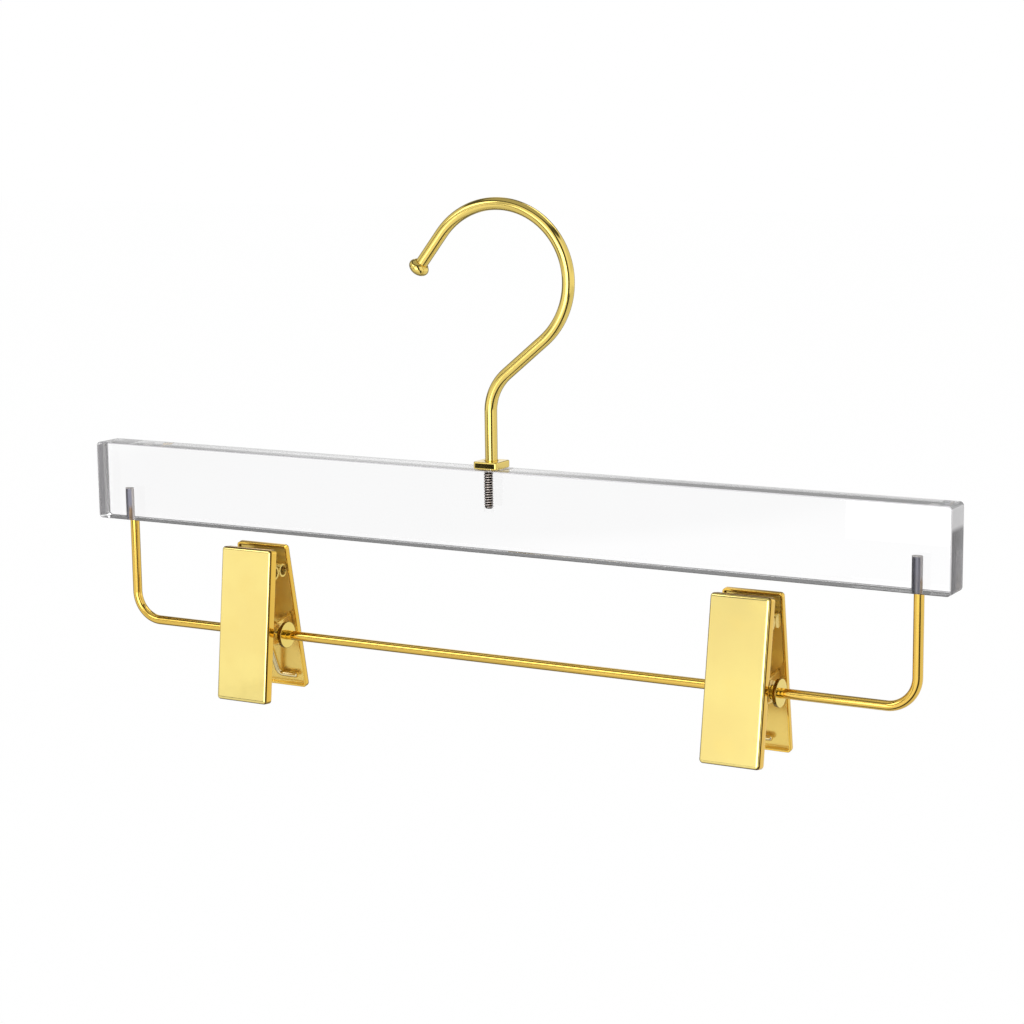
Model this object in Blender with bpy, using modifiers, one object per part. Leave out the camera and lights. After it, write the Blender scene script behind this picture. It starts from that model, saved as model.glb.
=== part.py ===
"""Clear bar hanger for skirts: acrylic bar, swivelling wire hook, wire trapeze and two sprung clips.

Metres, +Z up. X runs along the bar, -Y is the front. The origin lies on the hook's swivel axis,
where that axis meets the inside of the hook's arc, which is where the hanger sits on its rail.
Each piece is its own object. A clip's pieces hang from an empty on the trapeze wire's axis, and
the hook's pieces from an empty on the swivel axis.
"""

import math

import bmesh
import bpy
import numpy as np
from mathutils import Matrix, Vector

# Clearances between pieces
SEAT_GAP = 0.0003
RUN_GAP = 0.0002
CUT_OVERRUN = 0.001

# Acrylic bar
BAR_LENGTH = 0.355
BAR_DEPTH = 0.012
BAR_HEIGHT = 0.0305
BAR_CORNER = 0.0016
BAR_EDGE = 0.0004

# Hook
HOOK_WIRE_RADIUS = 0.0023
HOOK_ARC_RADIUS = 0.0276
HOOK_ARC_OFFSET = 0.0034
HOOK_ARC_RISE = 0.0686
HOOK_BEND_RADIUS = 0.0185
HOOK_LEAN = math.radians(49.7)
HOOK_ARC_END = math.radians(143.0)
HOOK_NOSE = 0.0156
HOOK_TURN = math.radians(5.2)

# Button on the hook's end
TIP_RADIUS = 0.00385
TIP_HEIGHT = 0.00465
TIP_SOCKET = 0.002

# Square collar and threaded stud under the hook
COLLAR_WIDTH = 0.0101
COLLAR_HEIGHT = 0.0027
COLLAR_CORNER = 0.0009
COLLAR_EDGE = 0.0005
STUD_RADIUS = 0.0019
STUD_REACH = 0.0143
STUD_CHAMFER = 0.0007
STUD_HOLE_SPARE = 0.0012
SPIGOT_RADIUS = 0.0014
SPIGOT_LENGTH = 0.006

# Trapeze wire
TRAPEZE_WIRE_RADIUS = 0.0018
TRAPEZE_INSET = 0.0131
TRAPEZE_DROP = 0.0408
TRAPEZE_BEND = 0.011
TRAPEZE_GRIP = 0.0055
TRAPEZE_HOLE_DEPTH = 0.0124

# Clips on the wire: place in from the trapeze's ends and roll about the wire, as they stand in the photograph
LEFT_CLIP_INSET = 0.0594
RIGHT_CLIP_INSET = 0.0626
LEFT_CLIP_ROLL = math.radians(2.4)
RIGHT_CLIP_ROLL = math.radians(-0.5)

# Clip plates: shallow stamped pans that lean apart towards the handles
PLATE_WIDTH = 0.023
PLATE_LENGTH = 0.0598
PLATE_SHEET = 0.0008
FRONT_FLANGE = 0.0041
REAR_FLANGE = 0.0029
PLATE_EDGE = 0.0011
PLATE_CORNER = 0.0014
PLATE_TILT = math.radians(8.8)
PIVOT_DROP = 0.0334

# Ear brackets inside the plates
BRACKET_SHEET = 0.001
BRACKET_SIDE_GAP = 0.0005
BRACKET_CORNER = 0.0035
BRACKET_SHOULDER = 0.005
BRACKET_TAIL = 0.0048
EAR_RADIUS = 0.0042
EAR_INSET = 0.0012
EAR_SINK = 0.0001

# Rolled grip tubes at the jaws
GRIP_RADIUS = 0.00265
GRIP_WALL = 0.0008
GRIP_DROP = 0.0092
GRIP_SIDE_GAP = 0.0003
GRIP_SEAM = math.radians(16.0)

# Hollow pivot rivet, its head and the washer at its other end
TUBE_WALL = 0.0004
DISC_RADIUS = 0.0051
DISC_THICKNESS = 0.0014
DISC_EDGE = 0.0002
DISC_CLEARANCE = 0.0001
TUBE_END_PROUD = 0.0005

# Torsion spring
SPRING_WIRE_RADIUS = 0.00115
SPRING_PITCH = 0.00275
SPRING_TURNS = 2
SPRING_COIL_GAP = 0.00035
SPRING_EAR_GAP = 0.0005
SPRING_FOOT_DROP = 0.0551
SPRING_FOOT_LENGTH = 0.0089
SPRING_FOOT_BEND = 0.0024
LEFT_SPRING_SHARE = 1.0
RIGHT_SPRING_SHARE = -0.5
SPRING_LEAST_GAP = 0.0004

# Facet counts
ROUND_SIDES = 24
BEND_STEPS = 8
HOOK_STEPS = 28
COIL_STEPS = 10
EDGE_STEPS = 2
CORNER_STEPS = 3
TIP_STEPS = 9
WIRE_RESOLUTION = 4
SPRING_RESOLUTION = 1

# Places that follow from the sizes above
SEAT_RISE = HOOK_ARC_RISE + math.sqrt((HOOK_ARC_RADIUS - HOOK_WIRE_RADIUS) ** 2 - HOOK_ARC_OFFSET**2)
BAR_TOP = -SEAT_RISE
BAR_BOTTOM = BAR_TOP - BAR_HEIGHT
WIRE_AXIS = BAR_BOTTOM - TRAPEZE_DROP
TRAPEZE_HALF = BAR_LENGTH / 2 - TRAPEZE_INSET
TUBE_BORE = TRAPEZE_WIRE_RADIUS + RUN_GAP
TUBE_RADIUS = TUBE_BORE + TUBE_WALL
EAR_HOLE = TUBE_RADIUS + RUN_GAP
GRIP_DEPTH = PLATE_SHEET + SEAT_GAP + BRACKET_SHEET + SEAT_GAP + GRIP_RADIUS
GRIP_CENTRE = SEAT_GAP / 2 + GRIP_RADIUS
JAW_HALF = GRIP_CENTRE + GRIP_DEPTH * math.cos(PLATE_TILT) - GRIP_DROP * math.sin(PLATE_TILT)
PIVOT_RISE = (PIVOT_DROP + JAW_HALF * math.sin(PLATE_TILT)) / math.cos(PLATE_TILT)
PIVOT_DEPTH = JAW_HALF * math.cos(PLATE_TILT) + PIVOT_RISE * math.sin(PLATE_TILT)
BRACKET_HALF = PLATE_WIDTH / 2 - PLATE_SHEET - BRACKET_SIDE_GAP
OUTER_EAR = BRACKET_HALF - EAR_INSET
INNER_EAR = OUTER_EAR - BRACKET_SHEET - SEAT_GAP
DISC_PLACE = PLATE_WIDTH / 2 + DISC_CLEARANCE
COIL_RADIUS = TUBE_RADIUS + SPRING_COIL_GAP + SPRING_WIRE_RADIUS
COIL_END = INNER_EAR - BRACKET_SHEET / 2 - SPRING_EAR_GAP - SPRING_WIRE_RADIUS

GOLD = (0.83, 0.62, 0.22, 1.0)
PALE_GOLD = (0.93, 0.75, 0.33, 1.0)
STEEL = (0.50, 0.46, 0.43, 1.0)
CLEAR = (0.96, 0.97, 0.98, 0.35)


def clear_scene():
    """Removes every object, so the file starts empty."""
    for obj in list(bpy.data.objects):
        bpy.data.objects.remove(obj, do_unlink=True)


def new_collection(name):
    """A collection linked to the scene."""
    made = bpy.data.collections.new(name)
    bpy.context.scene.collection.children.link(made)
    return made


def new_material(name, colour, roughness, metallic, transmission=0.0):
    """A Principled material with one colour, roughness and metallic value."""
    made = bpy.data.materials.new(name)
    made.use_nodes = True
    shader = made.node_tree.nodes["Principled BSDF"]
    shader.inputs["Base Color"].default_value = colour[:3] + (1.0,)
    shader.inputs["Roughness"].default_value = roughness
    shader.inputs["Metallic"].default_value = metallic
    shader.inputs["Transmission Weight"].default_value = transmission
    made.diffuse_color = colour
    return made


def new_empty(name, collection, parent=None, location=(0, 0, 0), rotation=(0, 0, 0)):
    """An empty that carries pieces on a joint's axis."""
    made = bpy.data.objects.new(name, None)
    collection.objects.link(made)
    made.parent = parent
    made.location = location
    made.rotation_euler = rotation
    return made


def new_piece(name, data, collection, material, parent=None, location=(0, 0, 0), rotation=(0, 0, 0)):
    """An object on a mesh or curve, with its material, parent and place."""
    made = bpy.data.objects.new(name, data)
    collection.objects.link(made)
    made.parent = parent
    made.location = location
    made.rotation_euler = rotation
    if material and not data.materials:
        data.materials.append(material)
    return made


def evaluated_mesh(obj):
    """The object's evaluated mesh as a new mesh, with a curve's loose caps welded."""
    bpy.context.view_layer.update()
    graph = bpy.context.evaluated_depsgraph_get()
    mesh = bpy.data.meshes.new_from_object(obj.evaluated_get(graph))
    work = bmesh.new()
    work.from_mesh(mesh)
    bmesh.ops.remove_doubles(work, verts=work.verts, dist=SEAT_GAP / 100)
    bmesh.ops.recalc_face_normals(work, faces=work.faces)
    work.to_mesh(mesh)
    work.free()
    return mesh


def combine(name, base, others, operation):
    """The mesh of base after one Boolean with each of the others; the helpers are removed."""
    for index, other in enumerate(others):
        step = base.modifiers.new(f"{name}_{index}", "BOOLEAN")
        step.operation = operation
        step.object = other
        step.solver = "EXACT"
    mesh = evaluated_mesh(base)
    mesh.name = name
    for helper in [base, *others]:
        bpy.data.objects.remove(helper, do_unlink=True)
    return mesh


def shade_round(mesh):
    """Smooth shading, with edges sharper than 30 degrees kept."""
    mesh.shade_smooth()
    mesh.set_sharp_from_angle(angle=math.radians(30.0))


def cylinder_mesh(name, radius, start, end, sides=ROUND_SIDES):
    """A closed cylinder along +X from start to end."""
    work = bmesh.new()
    bmesh.ops.create_cone(
        work, cap_ends=True, segments=sides, radius1=radius, radius2=radius, depth=end - start
    )
    turn = Matrix.Rotation(math.pi / 2, 4, "Y")
    bmesh.ops.transform(work, matrix=Matrix.Translation(((start + end) / 2, 0, 0)) @ turn, verts=work.verts)
    mesh = bpy.data.meshes.new(name)
    work.to_mesh(mesh)
    work.free()
    return mesh


def upright_cylinder(name, radius, low, high, collection, place=(0, 0)):
    """A helper cylinder along Z from low to high, at place in X and Y."""
    mesh = cylinder_mesh(name, radius, low, high)
    mesh.transform(Matrix.Rotation(-math.pi / 2, 4, "Y"))
    return new_piece(name, mesh, collection, None, location=(place[0], place[1], 0))


def block_mesh(name, low, high, corner_axis, corner, edge):
    """A block whose edges along corner_axis are rounded to corner, and all others to edge."""
    work = bmesh.new()
    bmesh.ops.create_cube(work, size=1.0)
    size = [b - a for a, b in zip(low, high)]
    middle = [(a + b) / 2 for a, b in zip(low, high)]
    bmesh.ops.transform(
        work, matrix=Matrix.Translation(middle) @ Matrix.Diagonal((*size, 1.0)), verts=work.verts
    )
    uprights = [
        e for e in work.edges if abs((e.verts[0].co - e.verts[1].co)[corner_axis]) > size[corner_axis] / 2
    ]
    bmesh.ops.bevel(
        work, geom=uprights, offset=corner, segments=CORNER_STEPS, profile=0.5, affect="EDGES"
    )
    ends = (low[corner_axis], high[corner_axis])
    rims = [
        e
        for e in work.edges
        if any(all(abs(v.co[corner_axis] - end) < edge / 100 for v in e.verts) for end in ends)
    ]
    bmesh.ops.bevel(work, geom=rims, offset=edge, segments=EDGE_STEPS, profile=0.5, affect="EDGES")
    mesh = bpy.data.meshes.new(name)
    work.to_mesh(mesh)
    work.free()
    shade_round(mesh)
    return mesh


def turned_mesh(name, profile, collection):
    """A body turned about Z from (radius, height) points that run down its outer side."""
    mesh = bpy.data.meshes.new(name)
    points = [(radius, 0, height) for radius, height in profile]
    mesh.from_pydata(points, [(i, i + 1) for i in range(len(points) - 1)], [])
    helper = new_piece(name, mesh, collection, None)
    spin = helper.modifiers.new("turn", "SCREW")
    spin.axis = "Z"
    spin.angle = 2 * math.pi
    spin.steps = ROUND_SIDES
    spin.render_steps = ROUND_SIDES
    spin.use_merge_vertices = True
    spin.merge_threshold = SEAT_GAP / 100
    made = evaluated_mesh(helper)
    made.name = name
    bpy.data.objects.remove(helper, do_unlink=True)
    shade_round(made)
    return made


def outline_mesh(name, loops, thickness, collection):
    """A flat plate in the XY plane, centred on it, from closed loops of (x, y); inner loops are holes."""
    curve = bpy.data.curves.new(name, "CURVE")
    curve.dimensions = "2D"
    curve.fill_mode = "BOTH"
    curve.extrude = thickness / 2
    for loop in loops:
        spline = curve.splines.new("POLY")
        spline.points.add(len(loop) - 1)
        for point, (x, y) in zip(spline.points, loop):
            point.co = (x, y, 0, 1)
        spline.use_cyclic_u = True
    helper = new_piece(name, curve, collection, None)
    mesh = evaluated_mesh(helper)
    mesh.name = name
    bpy.data.objects.remove(helper, do_unlink=True)
    return mesh


def arc(centre, radius, start, end, steps):
    """Points of an arc in a plane, from angle start to angle end, both ends included."""
    return [
        (centre[0] + radius * math.cos(angle), centre[1] + radius * math.sin(angle))
        for angle in np.linspace(start, end, steps + 1)
    ]


def rounded_path(corners, radius, steps):
    """A path through the corners, each inner corner replaced by an arc of the given radius."""
    corners = [Vector(corner) for corner in corners]
    path = [corners[0]]
    for before, corner, after in zip(corners, corners[1:], corners[2:]):
        to_before = (before - corner).normalized()
        to_after = (after - corner).normalized()
        half = to_before.angle(to_after) / 2
        reach = radius / math.tan(half)
        middle = corner + (to_before + to_after).normalized() * (radius / math.sin(half))
        start = corner + to_before * reach - middle
        end = corner + to_after * reach - middle
        sweep = start.angle(end)
        for t in np.linspace(0.0, 1.0, steps + 1):
            blend = (start * math.sin((1 - t) * sweep) + end * math.sin(t * sweep)) / math.sin(sweep)
            path.append(middle + blend)
    path.append(corners[-1])
    return path


def wire_curve(name, path, radius, resolution):
    """A round wire along a path of points, with closed ends."""
    curve = bpy.data.curves.new(name, "CURVE")
    curve.dimensions = "3D"
    curve.bevel_depth = radius
    curve.bevel_resolution = resolution
    curve.use_fill_caps = True
    spline = curve.splines.new("POLY")
    spline.points.add(len(path) - 1)
    for point, place in zip(spline.points, path):
        point.co = (*place, 1)
    return curve


def least_self_gap(path, radius, apart):
    """The least free distance between points of a wound wire that lie further than apart along it."""
    points = np.array([tuple(p) for p in path])
    along = np.concatenate([[0.0], np.cumsum(np.linalg.norm(np.diff(points, axis=0), axis=1))])
    distance = np.linalg.norm(points[:, None] - points[None, :], axis=2)
    far = np.abs(along[:, None] - along[None, :]) > apart
    return float(distance[far].min() - 2 * radius)


def plate_to_clip(depth, drop):
    """(y, z) in the clip's frame of a point depth behind a plate's outer face and drop below its top."""
    y = JAW_HALF - depth * math.cos(PLATE_TILT) + drop * math.sin(PLATE_TILT)
    z = PIVOT_RISE - depth * math.sin(PLATE_TILT) - drop * math.cos(PLATE_TILT)
    return y, z


def make_bar(parts, helpers, material):
    """Clear bar with rounded corners, the stud's hole above and the trapeze's two holes below."""
    low = (-BAR_LENGTH / 2, -BAR_DEPTH / 2, BAR_BOTTOM)
    high = (BAR_LENGTH / 2, BAR_DEPTH / 2, BAR_TOP)
    base = new_piece("bar_blank", block_mesh("bar_blank", low, high, 1, BAR_CORNER, BAR_EDGE), helpers, None)
    stud_floor = BAR_TOP - STUD_REACH - STUD_HOLE_SPARE
    cuts = [
        upright_cylinder("stud_hole", STUD_RADIUS + SEAT_GAP, stud_floor, BAR_TOP + CUT_OVERRUN, helpers)
    ]
    for side in (-1, 1):
        cuts.append(
            upright_cylinder(
                "leg_hole",
                TRAPEZE_WIRE_RADIUS + SEAT_GAP,
                BAR_BOTTOM - CUT_OVERRUN,
                BAR_BOTTOM + TRAPEZE_HOLE_DEPTH,
                helpers,
                place=(side * TRAPEZE_HALF, 0),
            )
        )
    mesh = combine("acrylic_bar", base, cuts, "DIFFERENCE")
    shade_round(mesh)
    return new_piece("acrylic_bar", mesh, parts, material)


def hook_path():
    """Centre line of the hook in the hook's own X and Z, from the shank's foot to the wire's end."""
    centre = (HOOK_ARC_OFFSET, HOOK_ARC_RISE)
    sweep = arc(centre, HOOK_ARC_RADIUS, -HOOK_LEAN, HOOK_ARC_END, HOOK_STEPS)
    join = sweep[0]
    corner = (0.0, join[1] - join[0] / math.tan(HOOK_LEAN))
    lower = rounded_path(
        [(0, 0, SEAT_GAP), (0, 0, corner[1]), (join[0], 0, join[1])], HOOK_BEND_RADIUS, BEND_STEPS
    )
    last = sweep[-1]
    heading = HOOK_ARC_END + math.pi / 2
    end = (last[0] + HOOK_NOSE * math.cos(heading), last[1] + HOOK_NOSE * math.sin(heading))
    return [tuple(p) for p in lower] + [(x, 0, z) for x, z in sweep[1:]] + [(end[0], 0, end[1])]


def make_hook(parts, helpers, swivel, material):
    """Bent wire of the hook, drilled at its foot for the stud's spigot."""
    path = hook_path()
    helper = new_piece(
        "hook_blank", wire_curve("hook_blank", path, HOOK_WIRE_RADIUS, WIRE_RESOLUTION), helpers, None
    )
    base = new_piece("hook_base", evaluated_mesh(helper), helpers, None)
    bpy.data.objects.remove(helper, do_unlink=True)
    top = SEAT_GAP + SPIGOT_LENGTH + SEAT_GAP
    drill = upright_cylinder("spigot_hole", SPIGOT_RADIUS + SEAT_GAP, -CUT_OVERRUN, top, helpers)
    mesh = combine("hook_wire", base, [drill], "DIFFERENCE")
    shade_round(mesh)
    return new_piece("hook_wire", mesh, parts, material, parent=swivel)


def make_hook_tip(parts, helpers, swivel, material):
    """Flattened ball with a blind socket, pressed on the end of the hook's wire."""
    bore = HOOK_WIRE_RADIUS + SEAT_GAP
    start = math.acos(bore / TIP_RADIUS)
    half = TIP_HEIGHT / (1 + math.sin(start))
    middle = TIP_SOCKET - half * math.sin(start)
    dome = [
        (TIP_RADIUS * math.cos(t), middle + half * math.sin(t))
        for t in np.linspace(start, -math.pi / 2, TIP_STEPS + 1)[:-1]
    ]
    profile = [(0, -SEAT_GAP), (bore, -SEAT_GAP)] + dome + [(0, middle - half)]
    mesh = turned_mesh("hook_tip", profile, helpers)
    end = hook_path()[-1]
    lean = HOOK_ARC_END - math.pi / 2
    return new_piece(
        "hook_tip", mesh, parts, material, parent=swivel, location=end, rotation=(0, math.pi / 2 - lean, 0)
    )


def make_collar(parts, helpers, material):
    """Square collar on the bar, bored for the hook's shank."""
    half = COLLAR_WIDTH / 2
    low = (-half, -half, BAR_TOP + SEAT_GAP)
    high = (half, half, BAR_TOP + SEAT_GAP + COLLAR_HEIGHT)
    base = new_piece(
        "collar_blank", block_mesh("collar_blank", low, high, 2, COLLAR_CORNER, COLLAR_EDGE), helpers, None
    )
    bore = upright_cylinder(
        "collar_bore", HOOK_WIRE_RADIUS + SEAT_GAP, low[2] - CUT_OVERRUN, high[2] + CUT_OVERRUN, helpers
    )
    mesh = combine("hook_collar", base, [bore], "DIFFERENCE")
    shade_round(mesh)
    return new_piece("hook_collar", mesh, parts, material)


def make_stud(parts, helpers, swivel, material):
    """Stud that screws into the bar, with a spigot held in the shank. Its thread is left plain here."""
    top = SEAT_GAP + SPIGOT_LENGTH
    profile = [
        (0, top),
        (SPIGOT_RADIUS, top),
        (SPIGOT_RADIUS, 0),
        (STUD_RADIUS, 0),
        (STUD_RADIUS, STUD_CHAMFER - STUD_REACH),
        (STUD_RADIUS - STUD_CHAMFER, -STUD_REACH),
        (0, -STUD_REACH),
    ]
    mesh = turned_mesh("hook_stud", profile, helpers)
    return new_piece("hook_stud", mesh, parts, material, parent=swivel)


def make_trapeze(parts, material):
    """U-shaped wire whose ends stand in the bar's two lower holes."""
    top = BAR_BOTTOM + TRAPEZE_GRIP
    corners = [
        (-TRAPEZE_HALF, 0, top),
        (-TRAPEZE_HALF, 0, WIRE_AXIS),
        (TRAPEZE_HALF, 0, WIRE_AXIS),
        (TRAPEZE_HALF, 0, top),
    ]
    path = rounded_path(corners, TRAPEZE_BEND, BEND_STEPS)
    curve = wire_curve("trapeze_wire", path, TRAPEZE_WIRE_RADIUS, WIRE_RESOLUTION)
    return new_piece("trapeze_wire", curve, parts, material)


def plate_mesh(name, flange, helpers):
    """Stamped pan of a clip's plate: a shallow tray as deep as its flange, open towards the jaw."""
    work = bmesh.new()
    bmesh.ops.create_cube(work, size=1.0)
    size = (PLATE_WIDTH, flange, PLATE_LENGTH)
    place = Matrix.Translation((0, -flange / 2, -PLATE_LENGTH / 2))
    bmesh.ops.transform(work, matrix=place @ Matrix.Diagonal((*size, 1.0)), verts=work.verts)
    open_side = [f for f in work.faces if f.normal.y < -0.5]
    bmesh.ops.delete(work, geom=open_side, context="FACES_ONLY")
    uprights = [e for e in work.edges if abs((e.verts[0].co - e.verts[1].co).y) > flange / 2]
    bmesh.ops.bevel(
        work, geom=uprights, offset=PLATE_CORNER, segments=CORNER_STEPS, profile=0.5, affect="EDGES"
    )
    rim = [
        e
        for e in work.edges
        if all(abs(v.co.y) < PLATE_SHEET / 100 for v in e.verts) and len(e.link_faces) == 2
    ]
    bmesh.ops.bevel(work, geom=rim, offset=PLATE_EDGE, segments=CORNER_STEPS, profile=0.5, affect="EDGES")
    bmesh.ops.recalc_face_normals(work, faces=work.faces)
    mesh = bpy.data.meshes.new("plate_blank")
    work.to_mesh(mesh)
    work.free()
    blank = new_piece("plate_blank", mesh, helpers, None)
    wall = blank.modifiers.new("wall", "SOLIDIFY")
    wall.thickness = PLATE_SHEET
    wall.offset = -1.0
    wall.use_even_offset = True
    made = combine(name, blank, [], "UNION")
    made.transform(plate_placement())
    shade_round(made)
    return made


def plate_placement():
    """From a plate's own frame, top edge at the origin and outer face at Y = 0, to the rear side's frame."""
    return Matrix.Translation((0, JAW_HALF, PIVOT_RISE)) @ Matrix.Rotation(PLATE_TILT, 4, "X")


def bracket_mesh(name, ear_place, helpers):
    """Sheet bracket that lies on a plate's floor, with two ears that reach in to the pivot rivet."""
    top = PLATE_SHEET + BRACKET_SIDE_GAP
    corner = (BRACKET_HALF - BRACKET_CORNER, BRACKET_SHOULDER - PIVOT_DROP + BRACKET_CORNER)
    turn = math.acos((ear_place - corner[0]) / BRACKET_CORNER)
    right = [(BRACKET_HALF, -top)]
    right += arc(corner, BRACKET_CORNER, 0.0, -turn, CORNER_STEPS + 1)
    right += [(ear_place, -PIVOT_DROP - BRACKET_TAIL)]
    loop = right + [(-x, y) for x, y in reversed(right)]
    floor = new_piece(name, outline_mesh(name, [loop], BRACKET_SHEET, helpers), helpers, None)
    outer = PLATE_SHEET + SEAT_GAP
    middle = outer + BRACKET_SHEET / 2
    floor.data.transform(Matrix.Translation((0, -middle, 0)) @ Matrix.Rotation(math.pi / 2, 4, "X"))
    ears = []
    for side in (-1, 1):
        mesh = ear_mesh(side * ear_place, outer + EAR_SINK, helpers)
        ears.append(new_piece("bracket_ear", mesh, helpers, None))
    made = combine(name, floor, ears, "UNION")
    made.transform(plate_placement())
    return made


def ear_mesh(place, floor_depth, helpers):
    """One ear, a strap from the bracket's floor to a round end with a hole for the rivet."""
    end = arc((-PIVOT_DEPTH, -PIVOT_DROP), EAR_RADIUS, -math.pi / 2, -3 * math.pi / 2, ROUND_SIDES // 2)
    loop = [*end, (-floor_depth, -PIVOT_DROP + EAR_RADIUS), (-floor_depth, -PIVOT_DROP - EAR_RADIUS)]
    hole = arc((-PIVOT_DEPTH, -PIVOT_DROP), EAR_HOLE, 0.0, 2 * math.pi, ROUND_SIDES)[:-1]
    mesh = outline_mesh("bracket_ear", [loop, hole], BRACKET_SHEET, helpers)
    upright = Matrix(((0, 0, 1, place), (1, 0, 0, 0), (0, 1, 0, 0), (0, 0, 0, 1)))
    mesh.transform(upright)
    return mesh


def grip_mesh(helpers):
    """Rolled tube of a jaw, with its seam towards the plate's floor."""
    inner = GRIP_RADIUS - GRIP_WALL
    seam = PLATE_TILT
    loop = arc((0, 0), GRIP_RADIUS, seam + GRIP_SEAM, seam + 2 * math.pi - GRIP_SEAM, ROUND_SIDES)
    loop += arc((0, 0), inner, seam + 2 * math.pi - GRIP_SEAM, seam + GRIP_SEAM, ROUND_SIDES)
    length = PLATE_WIDTH - 2 * (PLATE_SHEET + GRIP_SIDE_GAP)
    mesh = outline_mesh("grip_tube", [loop], length, helpers)
    y, z = plate_to_clip(GRIP_DEPTH, GRIP_DROP)
    mesh.transform(Matrix(((0, 0, 1, 0), (1, 0, 0, y), (0, 1, 0, z), (0, 0, 0, 1))))
    shade_round(mesh)
    return mesh


def lengthwise(mesh):
    """Turns a body made about Z so that it lies along X, its top towards +X."""
    mesh.transform(Matrix.Rotation(math.pi / 2, 4, "Y"))
    return mesh


def rivet_mesh(helpers):
    """Hollow rivet on the trapeze wire, with a flat round head at its right end."""
    head_in = DISC_PLACE
    head_out = DISC_PLACE + DISC_THICKNESS
    tail = -DISC_PLACE - DISC_THICKNESS - TUBE_END_PROUD
    profile = [
        (TUBE_BORE, tail),
        (TUBE_BORE, head_out),
        (DISC_RADIUS - DISC_EDGE, head_out),
        (DISC_RADIUS, head_out - DISC_EDGE),
        (DISC_RADIUS, head_in + DISC_EDGE),
        (DISC_RADIUS - DISC_EDGE, head_in),
        (TUBE_RADIUS, head_in),
        (TUBE_RADIUS, tail),
        (TUBE_BORE, tail),
    ]
    return lengthwise(turned_mesh("pivot_rivet", profile, helpers))


def washer_mesh(helpers):
    """Washer on the rivet's plain end."""
    bore = TUBE_RADIUS + RUN_GAP
    low = -DISC_PLACE - DISC_THICKNESS
    high = -DISC_PLACE
    profile = [
        (bore, low),
        (bore, high),
        (DISC_RADIUS - DISC_EDGE, high),
        (DISC_RADIUS, high - DISC_EDGE),
        (DISC_RADIUS, low + DISC_EDGE),
        (DISC_RADIUS - DISC_EDGE, low),
        (bore, low),
    ]
    return lengthwise(turned_mesh("pivot_washer", profile, helpers))


def spring_leg(place, foot_end):
    """Rear leg of the spring: from its tangent point on the coil down to the plate, then along X."""
    y, z = plate_to_clip(PLATE_SHEET + SEAT_GAP + SPRING_WIRE_RADIUS, SPRING_FOOT_DROP)
    reach = math.hypot(y, z)
    leave = math.atan2(z, y) + math.acos(COIL_RADIUS / reach)
    start = (place, COIL_RADIUS * math.cos(leave), COIL_RADIUS * math.sin(leave))
    path = rounded_path([start, (place, y, z), (foot_end, y, z)], SPRING_FOOT_BEND, BEND_STEPS // 2)
    return leave, path


def spring_path(share):
    """Centre line of the torsion spring: front foot and leg, coil round the rivet, rear leg and foot.

    The coil is slid from the clip's middle by its share of the way to the ears, +1 for the right ones.
    """
    leave = spring_leg(0, SPRING_FOOT_LENGTH)[0]
    sweep = 2 * math.pi * SPRING_TURNS + (math.pi - 2 * leave)
    half = SPRING_PITCH * sweep / (4 * math.pi)
    middle = share * max(0, COIL_END - half)
    rear_place = middle - half
    front_place = middle + half
    rear = spring_leg(rear_place, rear_place + SPRING_FOOT_LENGTH)[1]
    steps = round(COIL_STEPS * sweep / (2 * math.pi))
    coil = []
    for t in np.linspace(0.0, 1.0, steps + 1)[1:-1]:
        angle = math.pi - leave - t * sweep
        place = front_place + t * (rear_place - front_place)
        coil.append(Vector((place, COIL_RADIUS * math.cos(angle), COIL_RADIUS * math.sin(angle))))
    front = [Vector((p.x, -p.y, p.z)) for p in spring_leg(front_place, front_place - SPRING_FOOT_LENGTH)[1]]
    return list(reversed(front)) + coil + rear


def make_clip(side_name, place, roll, share, parts, shared, gold, pale):
    """One clip: rivet and washer on the wire, and a front and a rear side that turn on the rivet."""
    carrier = new_empty(f"{side_name}_clip_axis", parts, location=(place, 0, WIRE_AXIS), rotation=(roll, 0, 0))
    front = new_empty(f"{side_name}_front_axis", parts, parent=carrier, rotation=(0, 0, math.pi))
    rear = new_empty(f"{side_name}_rear_axis", parts, parent=carrier)
    new_piece(f"{side_name}_pivot_rivet", shared["rivet"], parts, gold, parent=carrier)
    new_piece(f"{side_name}_pivot_washer", shared["washer"], parts, gold, parent=carrier)
    for side, axis in (("front", front), ("rear", rear)):
        new_piece(f"{side_name}_{side}_plate", shared[f"{side}_plate"], parts, pale, parent=axis)
        new_piece(f"{side_name}_{side}_bracket", shared[f"{side}_bracket"], parts, gold, parent=axis)
        new_piece(f"{side_name}_{side}_grip_tube", shared["grip"], parts, gold, parent=axis)
    spring = wire_curve(f"{side_name}_spring", spring_path(share), SPRING_WIRE_RADIUS, SPRING_RESOLUTION)
    new_piece(f"{side_name}_spring", spring, parts, gold, parent=carrier)


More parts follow.
